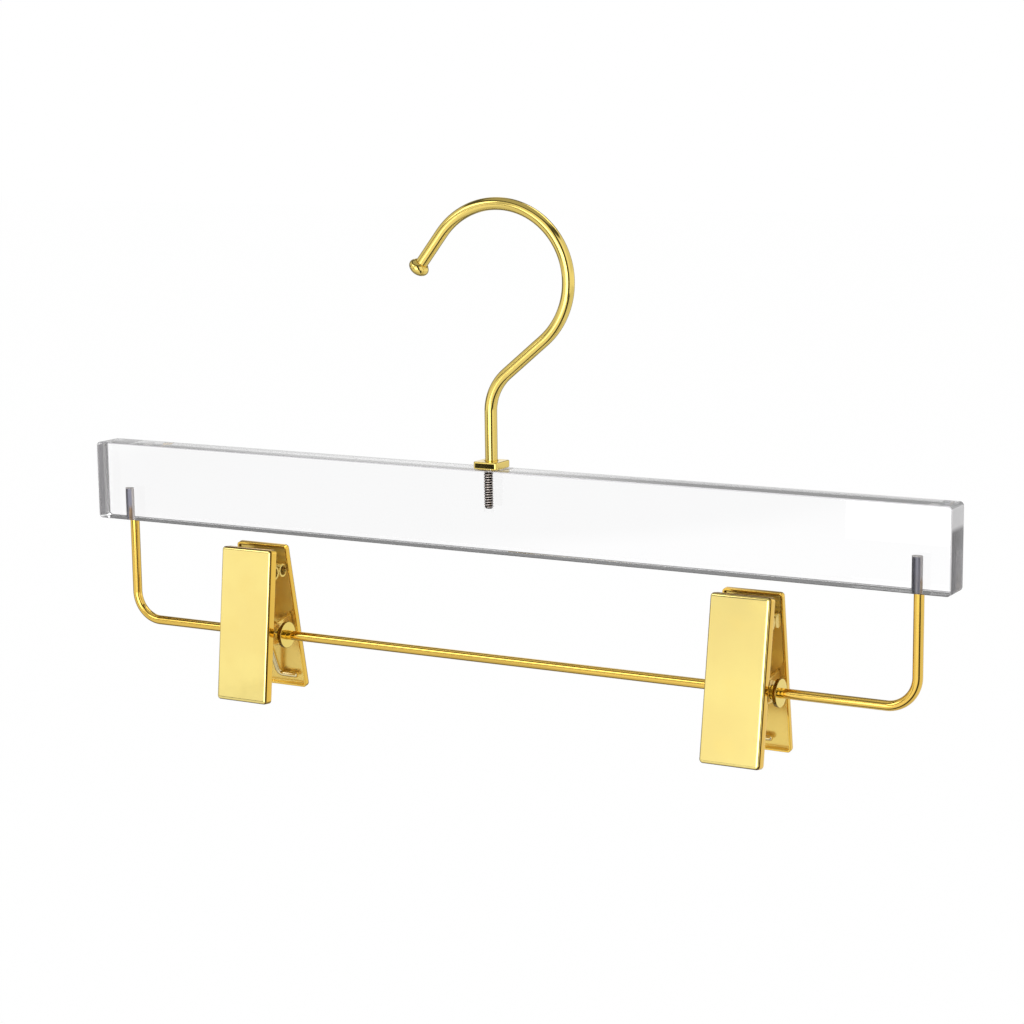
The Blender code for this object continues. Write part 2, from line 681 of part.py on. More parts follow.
def main():
    """Builds the hanger."""
    clear_scene()
    parts = new_collection("skirt_hanger")
    helpers = new_collection("helpers")
    gold = new_material("gold_wire", GOLD, 0.16, 1.0)
    pale = new_material("gold_plate", PALE_GOLD, 0.12, 1.0)
    steel = new_material("bare_steel", STEEL, 0.3, 1.0)
    clear = new_material("clear_acrylic", CLEAR, 0.02, 0.0, transmission=1.0)

    make_bar(parts, helpers, clear)
    swivel = new_empty("hook_swivel_axis", parts, location=(0, 0, BAR_TOP), rotation=(0, 0, HOOK_TURN))
    make_hook(parts, helpers, swivel, gold)
    make_hook_tip(parts, helpers, swivel, gold)
    make_stud(parts, helpers, swivel, steel)
    make_collar(parts, helpers, gold)
    make_trapeze(parts, gold)

    shared = {
        "front_plate": plate_mesh("front_plate", FRONT_FLANGE, helpers),
        "rear_plate": plate_mesh("rear_plate", REAR_FLANGE, helpers),
        "front_bracket": bracket_mesh("front_bracket", OUTER_EAR, helpers),
        "rear_bracket": bracket_mesh("rear_bracket", INNER_EAR, helpers),
        "grip": grip_mesh(helpers),
        "rivet": rivet_mesh(helpers),
        "washer": washer_mesh(helpers),
    }
    left_place = LEFT_CLIP_INSET - TRAPEZE_HALF
    right_place = TRAPEZE_HALF - RIGHT_CLIP_INSET
    make_clip("left", left_place, LEFT_CLIP_ROLL, LEFT_SPRING_SHARE, parts, shared, gold, pale)
    make_clip("right", right_place, RIGHT_CLIP_ROLL, RIGHT_SPRING_SHARE, parts, shared, gold, pale)

    turn_length = math.hypot(2 * math.pi * COIL_RADIUS, SPRING_PITCH)
    gap = least_self_gap(spring_path(LEFT_SPRING_SHARE), SPRING_WIRE_RADIUS, turn_length / 2)
    print(f"spring: least gap to itself {1000 * gap:.2f} mm, {'enough' if gap > SPRING_LEAST_GAP else 'too small'}")


main()
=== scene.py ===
"""Dresses the packed skirt hanger: polished acrylic bar, gold wires, sprung clips and a pale stage."""
import math

import bmesh
import bpy
import numpy as np
from bpy.props import FloatProperty, FloatVectorProperty, IntProperty, PointerProperty
from bpy.types import Operator, Panel, PropertyGroup
from mathutils import Matrix, Vector


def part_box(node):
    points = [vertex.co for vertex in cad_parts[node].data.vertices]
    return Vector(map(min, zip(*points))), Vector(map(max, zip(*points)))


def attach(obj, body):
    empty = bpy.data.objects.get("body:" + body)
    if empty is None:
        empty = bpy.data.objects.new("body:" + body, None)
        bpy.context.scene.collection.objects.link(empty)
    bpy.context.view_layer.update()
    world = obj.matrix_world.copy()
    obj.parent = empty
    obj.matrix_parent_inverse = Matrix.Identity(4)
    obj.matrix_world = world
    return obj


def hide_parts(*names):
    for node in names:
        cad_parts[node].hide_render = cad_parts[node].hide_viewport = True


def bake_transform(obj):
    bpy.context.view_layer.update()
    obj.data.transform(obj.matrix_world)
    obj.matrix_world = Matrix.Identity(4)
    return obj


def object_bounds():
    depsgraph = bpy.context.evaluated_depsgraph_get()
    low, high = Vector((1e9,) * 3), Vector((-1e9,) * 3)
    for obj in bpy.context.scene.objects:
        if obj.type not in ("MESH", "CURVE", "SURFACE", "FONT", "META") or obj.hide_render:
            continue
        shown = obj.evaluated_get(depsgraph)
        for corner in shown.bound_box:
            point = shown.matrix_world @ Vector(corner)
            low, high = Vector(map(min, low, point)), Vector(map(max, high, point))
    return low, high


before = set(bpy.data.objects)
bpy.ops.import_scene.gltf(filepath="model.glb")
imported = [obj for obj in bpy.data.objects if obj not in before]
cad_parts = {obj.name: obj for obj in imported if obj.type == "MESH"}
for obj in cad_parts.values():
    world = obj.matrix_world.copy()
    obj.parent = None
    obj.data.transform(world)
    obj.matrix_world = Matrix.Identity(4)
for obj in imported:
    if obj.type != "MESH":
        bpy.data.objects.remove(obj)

bl_info = {
    "name": "Skirt hanger studio",
    "version": (1, 0, 0),
    "blender": (4, 5, 0),
    "location": "3D View > Sidebar > Hanger",
    "description": "Fine surfaces and finishes for a clear bar hanger with sprung clips",
    "category": "Object",
}

TURN = 2 * math.pi
QUARTER = math.pi / 2
FULL_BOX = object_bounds()

# Places read from the packed solids
BAR_LOW, BAR_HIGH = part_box("acrylic_bar")
WIRE_LOW, WIRE_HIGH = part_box("trapeze_wire")
COLLAR_LOW, COLLAR_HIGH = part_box("hook_collar")
STUD_LOW, STUD_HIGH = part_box("hook_stud")
BAR_TOP = BAR_HIGH.z
STUD_RADIUS = (STUD_HIGH.x - STUD_LOW.x) / 2
CLIP_SIDES = ("left", "right")
CLIP_HALVES = [(side, part) for side in CLIP_SIDES for part in ("front", "rear")]

# The hollow rivet's running gap on the wire and the thickness of its tube
RIVET_GAP, RIVET_SKIN = 0.0002, 0.0004

# Half the depth of a span about a clip's middle; each spring works out the span's ends, and nothing uses them
SPRING_BLEND = 0.0045

# A radius that stands for a point on the axis, and a cutter's reach past the surface that it opens
HAIR, REACH_PAST = 1e-5, 0.001

# One more loop this far inside a rounded outline keeps the flat faces' shading flat up to their edges
FLAT_MARGIN = 0.0003

# Points in one loop of a rounded rectangle: four corners of nine
OUTLINE_POINTS = 36

ACRYLIC_INDEX = 1.49
WHITE, BLACK = (1.0, 1.0, 1.0, 1.0), (0.0, 0.0, 0.0, 1.0)


# Sizes and colours


def length(name, value, text, low=0.0):
    """A length property in metres."""
    return FloatProperty(name=name, description=text, default=value, min=low, unit="LENGTH", precision=5)


def angle(name, degrees, text):
    """An angle property."""
    return FloatProperty(name=name, description=text, default=math.radians(degrees), subtype="ANGLE")


def colour(name, value, text):
    """A linear colour property."""
    return FloatVectorProperty(
        name=name, description=text, default=value, size=3, min=0.0, max=1.0, subtype="COLOR"
    )


def share(name, value, text):
    """A property from nought to one."""
    return FloatProperty(name=name, description=text, default=value, min=0.0, max=1.0, subtype="FACTOR")


class HangerHookSizes(PropertyGroup):
    """Wire hook, its button, collar and threaded stud."""

    wire_radius: length("Wire radius", 0.0023, "Half the hook wire's thickness")
    arc_radius: length("Arc radius", 0.0276, "From the arc's centre to the wire's centre line")
    arc_offset: length("Arc offset", 0.0034, "How far the arc's centre lies beside the shank")
    arc_rise: length("Arc rise", 0.0686, "How far the arc's centre lies above the bar")
    bend_radius: length("Bend radius", 0.0185, "Radius of the bend above the shank")
    lean: angle("Lean", 49.7, "Angle between the shank and the slanting run above it")
    arc_end: angle("Arc end", 143.0, "Where the arc meets the straight nose, from the arc's right side")
    nose: length("Nose", 0.0156, "Straight run from the arc to the button's middle")
    turn: angle("Turn", 5.2, "How far the hook is swivelled from the bar's plane")
    tip_radius: length("Button radius", 0.00385, "Half the button's width")
    tip_height: length("Button height", 0.00465, "The button's height along the wire")
    tip_socket: length("Button socket", 0.002, "How deep the wire stands in the button")
    collar_corner: length("Collar corner", 0.0011, "Radius of the collar's upright corners")
    collar_edge: length("Collar edge", 0.0004, "Radius of the collar's upper and lower edges")
    thread_pitch: length("Thread pitch", 0.00092, "Rise of the stud's thread in one turn")
    thread_depth: length("Thread depth", 0.00038, "Height of the thread above its root")
    spigot_radius: length("Spigot radius", 0.0014, "Half the width of the stud's spigot in the shank")


class HangerBarSizes(PropertyGroup):
    """Clear bar and the trapeze wire under it."""

    corner: length("Corner radius", 0.0016, "Radius of the bar's four corners seen from the front")
    edge: length("Edge radius", 0.0004, "Radius of the polished edges round the front and back")
    leg_hole: length("Leg hole radius", 0.00195, "Half the width of the drilled holes for the wire")
    leg_hole_depth: length("Leg hole depth", 0.0124, "How deep those holes are")
    stud_hole: length("Stud hole radius", 0.00205, "Half the width of the stud's hole")
    stud_hole_spare: length("Spare depth", 0.0012, "Free depth under the stud")
    wire_bend: length("Wire bend", 0.011, "Centre line radius of the trapeze's bends")


class HangerClipSizes(PropertyGroup):
    """Clip plates, grip tubes, rivets and springs."""

    left_roll: angle("Left roll", 2.4, "How far the left clip is turned about the wire")
    right_roll: angle("Right roll", -0.5, "How far the right clip is turned about the wire")
    width: length("Plate width", 0.023, "Width of a plate")
    length: length("Plate length", 0.0598, "Length of a plate")
    sheet: length("Sheet", 0.0008, "Thickness of a plate")
    front_flange: length("Front flange", 0.0041, "Depth of a front plate's turned rim")
    rear_flange: length("Rear flange", 0.0029, "Depth of a rear plate's turned rim")
    edge: length("Edge radius", 0.0011, "Radius between a plate's face and its rim")
    corner: length("Corner radius", 0.0014, "Radius of a plate's corners")
    tilt: angle("Tilt", 8.8, "Lean of each plate from the clip's middle plane")
    drop: length("Pivot drop", 0.0334, "From a plate's top edge down to the pivot")
    bracket: length("Bracket sheet", 0.001, "Thickness of a bracket")
    gap: length("Seat gap", 0.0003, "Gap between pieces that lie on each other")
    grip_radius: length("Grip radius", 0.00265, "Outer radius of a rolled grip tube")
    grip_wall: length("Grip wall", 0.0008, "Sheet thickness of a grip tube")
    grip_drop: length("Grip drop", 0.0092, "From a plate's top edge down to the grip tube")
    grip_side_gap: length("Grip side gap", 0.0003, "Gap between the grip tube's end and the rim")
    grip_seam: angle("Grip seam", 16.0, "Half the opening of a grip tube's seam")
    disc_radius: length("Disc radius", 0.0051, "Outer radius of the rivet's head and the washer")
    disc_place: length("Disc place", 0.0116, "From the clip's middle to the inner side of a disc")
    spring_radius: length("Spring wire radius", 0.00115, "Half the spring wire's thickness")
    spring_pitch: length("Spring pitch", 0.00275, "Rise of the spring's coil in one turn")
    spring_turns: IntProperty(name="Turns", description="Whole turns between the legs", default=2, min=1)
    coil_gap: length("Coil gap", 0.00035, "Gap between the rivet's tube and the coil")
    spring_foot: length("Spring foot", 0.0089, "Length of the spring's foot along the plate")
    spring_bend: length("Spring bend", 0.0024, "Radius of the bend above the foot")
    spring_drop: length("Spring foot drop", 0.0551, "From a plate's top edge down to the spring's foot")


class HangerFinishes(PropertyGroup):
    """Colours and gloss of the finishes."""

    hook_gold: colour("Hook gold", (0.88, 0.67, 0.18), "Plated gold of the hook and its collar")
    wire_gold: colour("Wire gold", (0.95, 0.63, 0.13), "Plated gold of the trapeze wire")
    plate_gold: colour("Plate gold", (1.0, 0.80, 0.28), "Plated gold of the plates' outer faces")
    rim_gold: colour("Rim gold", (0.98, 0.62, 0.10), "Plated gold of the plates' turned rims")
    # Painted reflection: this dark gold stands for the dark line that the rounding between a plate's face and
    # its rim mirrors.
    line_gold: colour("Edge line", (0.15, 0.075, 0.012), "Thin plating between a plate's face and its rim")
    disc_gold: colour("Disc gold", (1.0, 0.76, 0.20), "Plated gold of the rivets and washers")
    spring_gold: colour("Spring gold", (0.96, 0.80, 0.42), "Pale plated gold of the springs")
    inner_gold: colour("Inner gold", (1.0, 0.73, 0.19), "Gold of the plates' inner sides, brackets and grips")
    # Painted shade: the dark gold on the rims of the rivets' heads and washers stands for shade on those
    # edges.
    dark_gold: colour("Disc edge", (0.30, 0.19, 0.04), "Thinly plated edge of the rivets' heads and washers")
    # The crests are bright steel; the roots' dark colour is painted shade in the thread's grooves.
    crest: colour("Thread crests", (1.0, 0.92, 0.87), "Bright steel of the stud's thread")
    root: colour("Thread roots", (0.02, 0.012, 0.009), "Dark film between the stud's threads")
    acrylic: colour("Acrylic", (0.994, 0.994, 0.996), "Faint tint of the clear bar")
    # Painted reflection: this grey tint of the bar's rounded edges stands for the darker reflections that
    # clear edges show.
    edge: colour("Bar edges", (0.46, 0.45, 0.465), "Tint of the bar's rounded edges")
    # Painted reflection: the grey of the lines along the bar's upper edges stands for what those edges
    # mirror.
    line: colour("Top edge lines", (0.50, 0.49, 0.51), "Tint of the lines along the bar's upper edges")
    # Painted shade and light: the sawn ends' frosted grey is darkened below and lightened near the top by
    # place.
    sawn_low: colour("Lower bar ends", (0.28, 0.265, 0.285), "Grey of the sawn ends below")
    sawn_high: colour("Upper bar ends", (0.86, 0.85, 0.86), "Grey of the sawn ends near the top")
    # Painted light and shade: the holes' grey walls run dark to pale from left to right by place.
    drilled_shade: colour("Drilled wall, dark", (0.035, 0.035, 0.06), "Left side of the holes for the wire")
    drilled_grey: colour("Drilled wall, grey", (0.25, 0.25, 0.31), "Middle of the holes for the wire")
    drilled_lit: colour("Drilled wall, pale", (0.74, 0.70, 0.68), "Right side and top of the same holes")
    floor: colour("Floor", (0.93, 0.93, 0.93), "Colour of the floor")
    wire_gloss: share("Wire roughness", 0.11, "Roughness of the gold wires")
    plate_gloss: share("Plate roughness", 0.09, "Roughness of the stamped pieces")


GROUPS = {
    "hook": HangerHookSizes,
    "bar": HangerBarSizes,
    "clip": HangerClipSizes,
    "finish": HangerFinishes,
}


def sizes(group):
    """The scene's property group of that name."""
    return getattr(bpy.context.scene, "hanger_" + group)


# Surfaces


def unit(vector):
    """The vector over its own length."""
    return vector / np.linalg.norm(vector)


def arc(centre, radius, start, end, steps):
    """Points (steps + 1, 2) of a circle's arc: centre plus radius times cosine and sine of an even sweep."""
    t = np.linspace(start, end, steps + 1)
    return np.stack([centre[0] + radius * np.cos(t), centre[1] + radius * np.sin(t)], 1)


def quarter(centre, radius, start, way, steps=6):
    """A quarter circle that begins start quarter turns round, counter-clockwise where way is 1."""
    return arc(centre, radius, start * QUARTER, (start + way) * QUARTER, steps)


def filleted(corners, radii, steps=6):
    """A polyline whose inner corners become arcs: each arc is tangent to both sides at radius / tan(half)."""
    corners = np.asarray(corners, float)
    radii = np.broadcast_to(radii, len(corners) - 2)
    t = np.linspace(0.0, 1.0, steps + 1)[:, None]
    pieces = [corners[:1]]
    for before, corner, after, radius in zip(corners[:-2], corners[1:-1], corners[2:], radii):
        a, b = unit(before - corner), unit(after - corner)
        half = math.acos(np.clip(a @ b, -1.0, 1.0)) / 2
        middle = corner + unit(a + b) * radius / math.sin(half)
        start = corner + a * radius / math.tan(half) - middle
        end = corner + b * radius / math.tan(half) - middle
        sweep = math.pi - 2 * half
        bent = start * np.sin((1 - t) * sweep) + end * np.sin(t * sweep)
        pieces.append(middle + bent / math.sin(sweep))
    return np.concatenate([*pieces, corners[-1:]])


def steps_of(points):
    """The lengths of a line's steps."""
    return np.linalg.norm(np.diff(points, axis=0), axis=1)


def distances(points):
    """How far along its line each point lies."""
    return np.concatenate([[0.0], np.cumsum(steps_of(points))])


def resampled(points, spacing):
    """The same line with points about spacing apart, keeping its own points."""
    counts = np.maximum(1, np.ceil(steps_of(points) / spacing).astype(int))
    index = np.repeat(np.arange(len(counts)), counts)
    first = np.repeat(np.cumsum(counts) - counts, counts)
    t = (np.arange(len(index)) - first) / counts[index]
    made = points[index] + (points[index + 1] - points[index]) * t[:, None]
    return np.concatenate([made, points[-1:]])


def upright(flat):
    """A flat line (points, 2) set up in X and Z."""
    return np.stack([flat[:, 0], np.zeros(len(flat)), flat[:, 1]], 1)


def surface(name, rings, close_rows=False, sharp=35.0):
    """A mesh on rings (rows, columns, 3): quads between neighbours; columns wrap, and end rows get caps."""
    rows, columns = rings.shape[:2]
    index = np.arange(rows * columns).reshape(rows, columns)
    below = np.roll(index, -1, axis=0) if close_rows else index[1:]
    here = index if close_rows else index[:-1]
    quads = np.stack([here, np.roll(here, -1, 1), np.roll(below, -1, 1), below], -1).reshape(-1, 4)
    faces = quads.tolist()
    if not close_rows:
        faces += [index[0][::-1].tolist(), index[-1].tolist()]
    mesh = bpy.data.meshes.new(name)
    mesh.from_pydata(rings.reshape(-1, 3), [], faces)
    mesh.validate()
    if signed_volume(mesh) < 0:
        mesh.flip_normals()
    return smoothed(mesh, sharp)


def smoothed(mesh, sharp):
    """Shades a mesh smooth, but for edges where the faces turn by more than sharp degrees."""
    mesh.shade_smooth()
    mesh.set_sharp_from_angle(angle=math.radians(sharp))
    return mesh


def signed_volume(mesh):
    """The sum over triangles of a x b . c / 6: above nought where the faces point out."""
    mesh.calc_loop_triangles()
    corners = np.empty(len(mesh.loop_triangles) * 3, np.int32)
    mesh.loop_triangles.foreach_get("vertices", corners)
    places = np.empty(len(mesh.vertices) * 3)
    mesh.vertices.foreach_get("co", places)
    a, b, c = places.reshape(-1, 3)[corners.reshape(-1, 3)].transpose(1, 0, 2)
    return float((np.cross(a, b) * c).sum() / 6)


def tube(name, path, radius, across, sides, edge=0.0002):
    """A round wire: at each point a circle of the radius, square to the path, its ends rounded off.

    Within the edge of an end the radius falls by edge times one less sine, and the inset by its cosine."""
    path = np.asarray(path, float)
    tangent = np.gradient(path, axis=0)
    tangent[0], tangent[-1] = path[1] - path[0], path[-1] - path[-2]
    tangent /= np.linalg.norm(tangent, axis=1)[:, None]
    side = np.broadcast_to(across, path.shape)
    side = side - (side * tangent).sum(1)[:, None] * tangent
    side = side / np.linalg.norm(side, axis=1)[:, None]
    along = distances(path)
    middle = np.flatnonzero((along > edge * 1.05) & (along < along[-1] - edge * 1.05))
    inset, reach = quarter((edge, radius - edge), edge, 2, -1).T
    head, tail = path[0] + tangent[0] * inset[:, None], path[-1] - tangent[-1] * inset[::-1, None]
    centres = np.concatenate([head, path[middle], tail])
    reaches = np.concatenate([reach, np.full(len(middle), radius), reach[::-1]])[:, None, None]
    rows = np.concatenate([np.zeros(len(head), int), middle, np.full(len(tail), len(path) - 1)])
    side, up = side[rows, None], np.cross(tangent, side)[rows, None]
    t = (np.arange(sides) * TURN / sides)[None, :, None]
    return surface(name, centres[:, None] + reaches * (side * np.cos(t) + up * np.sin(t)))


def circled(radius, height, sides):
    """Circles (rows, sides, 3) about Z from their radii and heights, (rows, 1) or (rows, sides)."""
    t = np.arange(sides) * TURN / sides
    flat = [radius * np.cos(t), radius * np.sin(t)]
    return np.stack([*flat, np.broadcast_to(height, (len(height), sides))], -1)


def turned(name, profile, sides=64, close=False, sharp=35.0):
    """A body turned about Z: each profile point (radius, height) runs round its circle."""
    return surface(name, circled(profile[:, :1], profile[:, 1:], sides), close_rows=close, sharp=sharp)


def rounded_rectangle(half_width, half_height, corner, steps=8):
    """Loop (4 (steps + 1), 2) of a rectangle whose corners are quarter circles, counter-clockwise."""
    inner = (half_width - corner, half_height - corner)
    spots = enumerate(((1, 1), (-1, 1), (-1, -1), (1, -1)))
    return np.concatenate([quarter(np.multiply(spot, inner), corner, k, 1, steps) for k, spot in spots])


def stacked_outline(name, half_width, half_height, corner, section, sharp=30.0):
    """Loops of one rounded rectangle, each drawn in by its section's inset and set back by its depth.

    The surface is a function of the place round the outline and the place along the section.
    Columns 0 and 1 are the outline's plane; column 2 is the depth."""
    margin = np.array([(FLAT_MARGIN, 0.0)])
    section = np.concatenate([section[:1] + margin, section, section[-1:] + margin])
    loops = []
    for inset, depth in section:
        flat = rounded_rectangle(half_width - inset, half_height - inset, max(corner - inset, corner / 8))
        loops.append(np.insert(flat, 2, depth, axis=1))
    return surface(name, np.stack(loops), sharp=sharp)


def placed(mesh, *matrices):
    """Moves a mesh by matrices, the last one first."""
    whole = Matrix.Identity(4)
    for matrix in matrices:
        whole = whole @ matrix
    mesh.transform(whole)
    if whole.determinant() < 0:
        mesh.flip_normals()
    return mesh


def dressed(mesh, finishes, slots):
    """Gives a mesh its finishes and each face, or all of them, the slot of one."""
    for made in finishes:
        mesh.materials.append(finish_named(made))
    slots = np.zeros(len(mesh.polygons), np.int32) + slots
    mesh.polygons.foreach_set("material_index", slots.astype(np.int32))
    return mesh


def face_values(mesh, key):
    """The faces' normals or middles (faces, 3)."""
    values = np.empty(len(mesh.polygons) * 3)
    mesh.polygons.foreach_get(key, values)
    return values.reshape(-1, 3)


def added(name, data):
    """A new object of that data in the scene."""
    obj = bpy.data.objects.new(name, data)
    bpy.context.scene.collection.objects.link(obj)
    return obj


def piece(node, mesh, finishes, body):
    """A dressed piece at the origin that rides on its body and stands for its packed solid."""
    obj = added(node + "_dressed", mesh)
    if not mesh.materials:
        dressed(mesh, finishes, 0)
    if body:
        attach(obj, body)
    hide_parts(node)
    return obj


# Shader maths


class Amount:
    """A number that changes over a surface; sums and products of it add their own Math nodes."""

    def __init__(self, finish, socket):
        self.finish = finish
        self.socket = socket

    def _math(self, operation, first, second):
        made = self.finish.node("Math", {"operation": operation}, {0: first, 1: second})
        return Amount(self.finish, made.outputs[0])

    def __add__(self, other):
        return self._math("ADD", self, other)

    def __sub__(self, other):
        return self._math("SUBTRACT", self, other)

    def __rsub__(self, other):
        return self._math("SUBTRACT", other, self)

    def __mul__(self, other):
        return self._math("MULTIPLY", self, other)

    __radd__ = __add__
    __rmul__ = __mul__

    def maximum(self, other):
        """The larger of two amounts."""
        return self._math("MAXIMUM", self, other)

    def step(self, low, high):
        """Nought below low, one above high, and a smooth rise between."""
        settings = {"interpolation_type": "SMOOTHSTEP"}
        values = {"Value": self, "From Min": low, "From Max": high}
        return Amount(self.finish, self.finish.node("MapRange", settings, values).outputs[0])

    def band(self, low, first, last, high):
        """One from first to last, nought below low and above high, and smooth between."""
        return self.step(low, first) * (1 - self.step(last, high))


class Finish:
    """A material or world whose nodes are added by name, with values or links for their sockets."""

    def __init__(self, owner):
        owner.use_nodes = True
        self.owner = owner
        self.tree = owner.node_tree
        self.tree.nodes.clear()

    def node(self, kind, settings=None, values=None):
        """Adds a node, sets its settings first and then its sockets."""
        made = self.tree.nodes.new("ShaderNode" + kind)
        for key, value in (settings or {}).items():
            setattr(made, key, value)
        for key, value in (values or {}).items():
            if isinstance(value, Amount):
                value = value.socket
            if isinstance(value, bpy.types.NodeSocket):
                self.tree.links.new(value, made.inputs[key])
            else:
                made.inputs[key].default_value = value
        return made

    def spot(self, kind="Object"):
        """The place on the piece, or another texture coordinate."""
        return self.node("TexCoord").outputs[kind]

    def vector(self, operation, *terms):
        """A Vector Math node's result on its terms: an amount where the operation gives one number."""
        made = self.node("VectorMath", {"operation": operation}, dict(enumerate(terms)))
        if operation in ("LENGTH", "DISTANCE", "DOT_PRODUCT"):
            return Amount(self, made.outputs["Value"])
        return made.outputs[0]

    def level_part(self, vector):
        """A vector without its height."""
        return self.vector("MULTIPLY", vector, (1.0, 1.0, 0.0))

    def noise(self, scale, detail=2.0, stretch=(1.0, 1.0, 1.0)):
        """Soft noise of about one over scale metres, stretched along the piece's own axes."""
        spot = self.node("Mapping", None, {"Vector": self.spot(), "Scale": stretch}).outputs[0]
        made = self.node("TexNoise", None, {"Vector": spot, "Scale": scale, "Detail": detail})
        return Amount(self, made.outputs["Fac"])

    def place(self, axis, kind="Object"):
        """How far along X, Y or Z (0, 1 or 2) a point of the piece lies."""
        return Amount(self, self.node("SeparateXYZ", None, {0: self.spot(kind)}).outputs[axis])

    def rays(self, *kinds):
        """Whether the light path is each of these kinds, as amounts."""
        path = self.node("LightPath")
        return [Amount(self, path.outputs[f"Is {kind} Ray"]) for kind in kinds]

    def blend(self, amount, first, second):
        """A colour between two, by an amount."""
        made = self.node("Mix", {"data_type": "RGBA", "clamp_factor": True}, {0: amount, 6: first, 7: second})
        return made.outputs[2]

    def bump(self, height, strength, distance):
        """A normal bumped by that height."""
        values = {"Strength": strength, "Distance": distance, "Height": height}
        return self.node("Bump", None, values).outputs[0]

    def tent(self, way, base, flags):
        """The tent's level in a direction: base, then each flag's own level within its bearing and softness.

        A flag is its bearing from the front towards the right, half width, softness and level; the
        nearness to it is the dot product of its direction with the direction's level part."""
        flat = self.vector("NORMALIZE", self.level_part(way))
        level = base
        for bearing, half, soft, value in flags:
            turn, inner, outer = (math.radians(degrees) for degrees in (bearing, half, half + soft))
            near = self.vector("DOT_PRODUCT", flat, (math.sin(turn), -math.cos(turn), 0.0))
            level = toward(level, near.step(math.cos(outer), math.cos(inner)), value)
        return level

    def grey(self, level):
        """A grey colour of that level."""
        return self.node("CombineColor", None, {0: level, 1: level, 2: level}).outputs[0]

    def surface(self, shader):
        """Ends a material's tree with its output."""
        self.node("OutputMaterial", None, {"Surface": shader.outputs[0]})
        return self.owner

    def principled(self, values, rgb=None, shown=1.0):
        """Ends a material with a Principled shader, and gives it its colour in the solid view."""
        if rgb:
            self.owner.diffuse_color = (*rgb, shown)
        return self.surface(self.node("BsdfPrincipled", None, values))

    def acrylic(self, tint, roughness, clear, rgb, shown=0.5, alpha=1.0):
        """Ends a material as acrylic that lets the clear share of the light through."""
        values = {"Base Color": tint, "Roughness": roughness, "Alpha": alpha}
        values |= {"IOR": ACRYLIC_INDEX, "Transmission Weight": clear}
        return self.principled(values, rgb, shown)


def started(name):
    """The empty finish of a new material."""
    return Finish(bpy.data.materials.new(name))


def four(rgb, scale=1.0):
    """A colour with full alpha, made lighter or darker."""
    return (*[min(1.0, c * scale) for c in rgb], 1.0)


def toward(level, part, other):
    """A level moved a part of the way to another level."""
    return level + part * (other - level)


def plated_gold(name, rgb, roughness, ripple, metal=1.0, shade_heights=None):
    """Polished gold plate: slow drifts of tint, faint polishing haze and a slight waviness of the metal.

    A pair of shade heights paints shade on the plate, a little darker from the lower height to the upper one."""
    finish = started(name)
    drift = finish.noise(38.0).step(0.3, 0.7)
    haze = finish.noise(420.0, 3.0)
    wipe = finish.noise(90.0).step(0.45, 0.75)
    warmer = four((rgb[0] * 0.98, rgb[1] * 0.94, rgb[2] * 0.82))
    tint = finish.blend(drift, four(rgb, 0.965), four(rgb, 1.03))
    tint = finish.blend(wipe * 0.25, tint, warmer)
    # Painted shade: up to a fifth darker above the shade heights.
    if shade_heights:
        tint = finish.blend(finish.place(2).step(*shade_heights) * 0.2, tint, BLACK)
    wave = finish.noise(150.0, 1.0) * 0.8 + haze * 0.2
    values = {
        "Base Color": tint,
        "Roughness": roughness + haze * 0.05 + wipe * 0.03 - 0.04,
        "Metallic": metal,
        "Normal": finish.bump(wave, ripple, 0.0004),
    }
    return finish.principled(values, rgb)


def turned_steel(name, crest, root):
    """Bare steel of the stud: bright crests, painted shade darkening the roots, and fine turning marks round
    it.
    """
    finish = started(name)
    depth = sizes("hook").thread_depth
    marks = finish.noise(160.0, stretch=(1.0, 1.0, 24.0))
    reach = finish.vector("LENGTH", finish.level_part(finish.spot()))
    # Painted shade: below the crests the steel darkens to the roots' colour.
    height = reach.step(STUD_RADIUS - depth * 0.7, STUD_RADIUS - depth * 0.15)
    values = {
        "Base Color": finish.blend(height * (marks * 0.3 + 0.85), four(root), four(crest)),
        "Roughness": marks * 0.1 + 0.3,
        "Metallic": 1.0,
        "Normal": finish.bump(marks, 0.2, 0.0002),
    }
    return finish.principled(values)


def clear_acrylic(name, rgb, rough, alpha=1.0):
    """Polished cast acrylic: clear right through, with the faintest wipe marks.

    A low alpha all but hides a wall that is bonded to the stud."""
    finish = started(name)
    marks = finish.noise(55.0).step(0.35, 0.8)
    tint = finish.blend(marks, four(rgb), four(rgb, 0.995))
    return finish.acrylic(tint, marks * rough, 1.0, rgb, 0.35, alpha)


def buffed_acrylic(name, rgb, line):
    """The bar's top: a white haze from buffing, and painted reflection as a greyer line on each long edge,
    paler on the right.
    """
    finish = started(name)
    marks = finish.noise(60.0, stretch=(0.2, 1.0, 1.0))
    front, back = BAR_LOW.y, BAR_HIGH.y
    middle = finish.place(1).band(front + 0.0005, front + 0.0008, back - 0.0008, back - 0.0005)
    # Painted reflection: grey lines on the long edges, lighter towards the right end.
    lines = finish.blend(finish.place(0).step(-0.09, 0.05), four(line), four(line, 1.5))
    haze = finish.blend(marks, four(rgb, 0.94), four(rgb))
    return finish.acrylic(finish.blend(middle, lines, haze), marks * 0.06, 0.62, rgb)


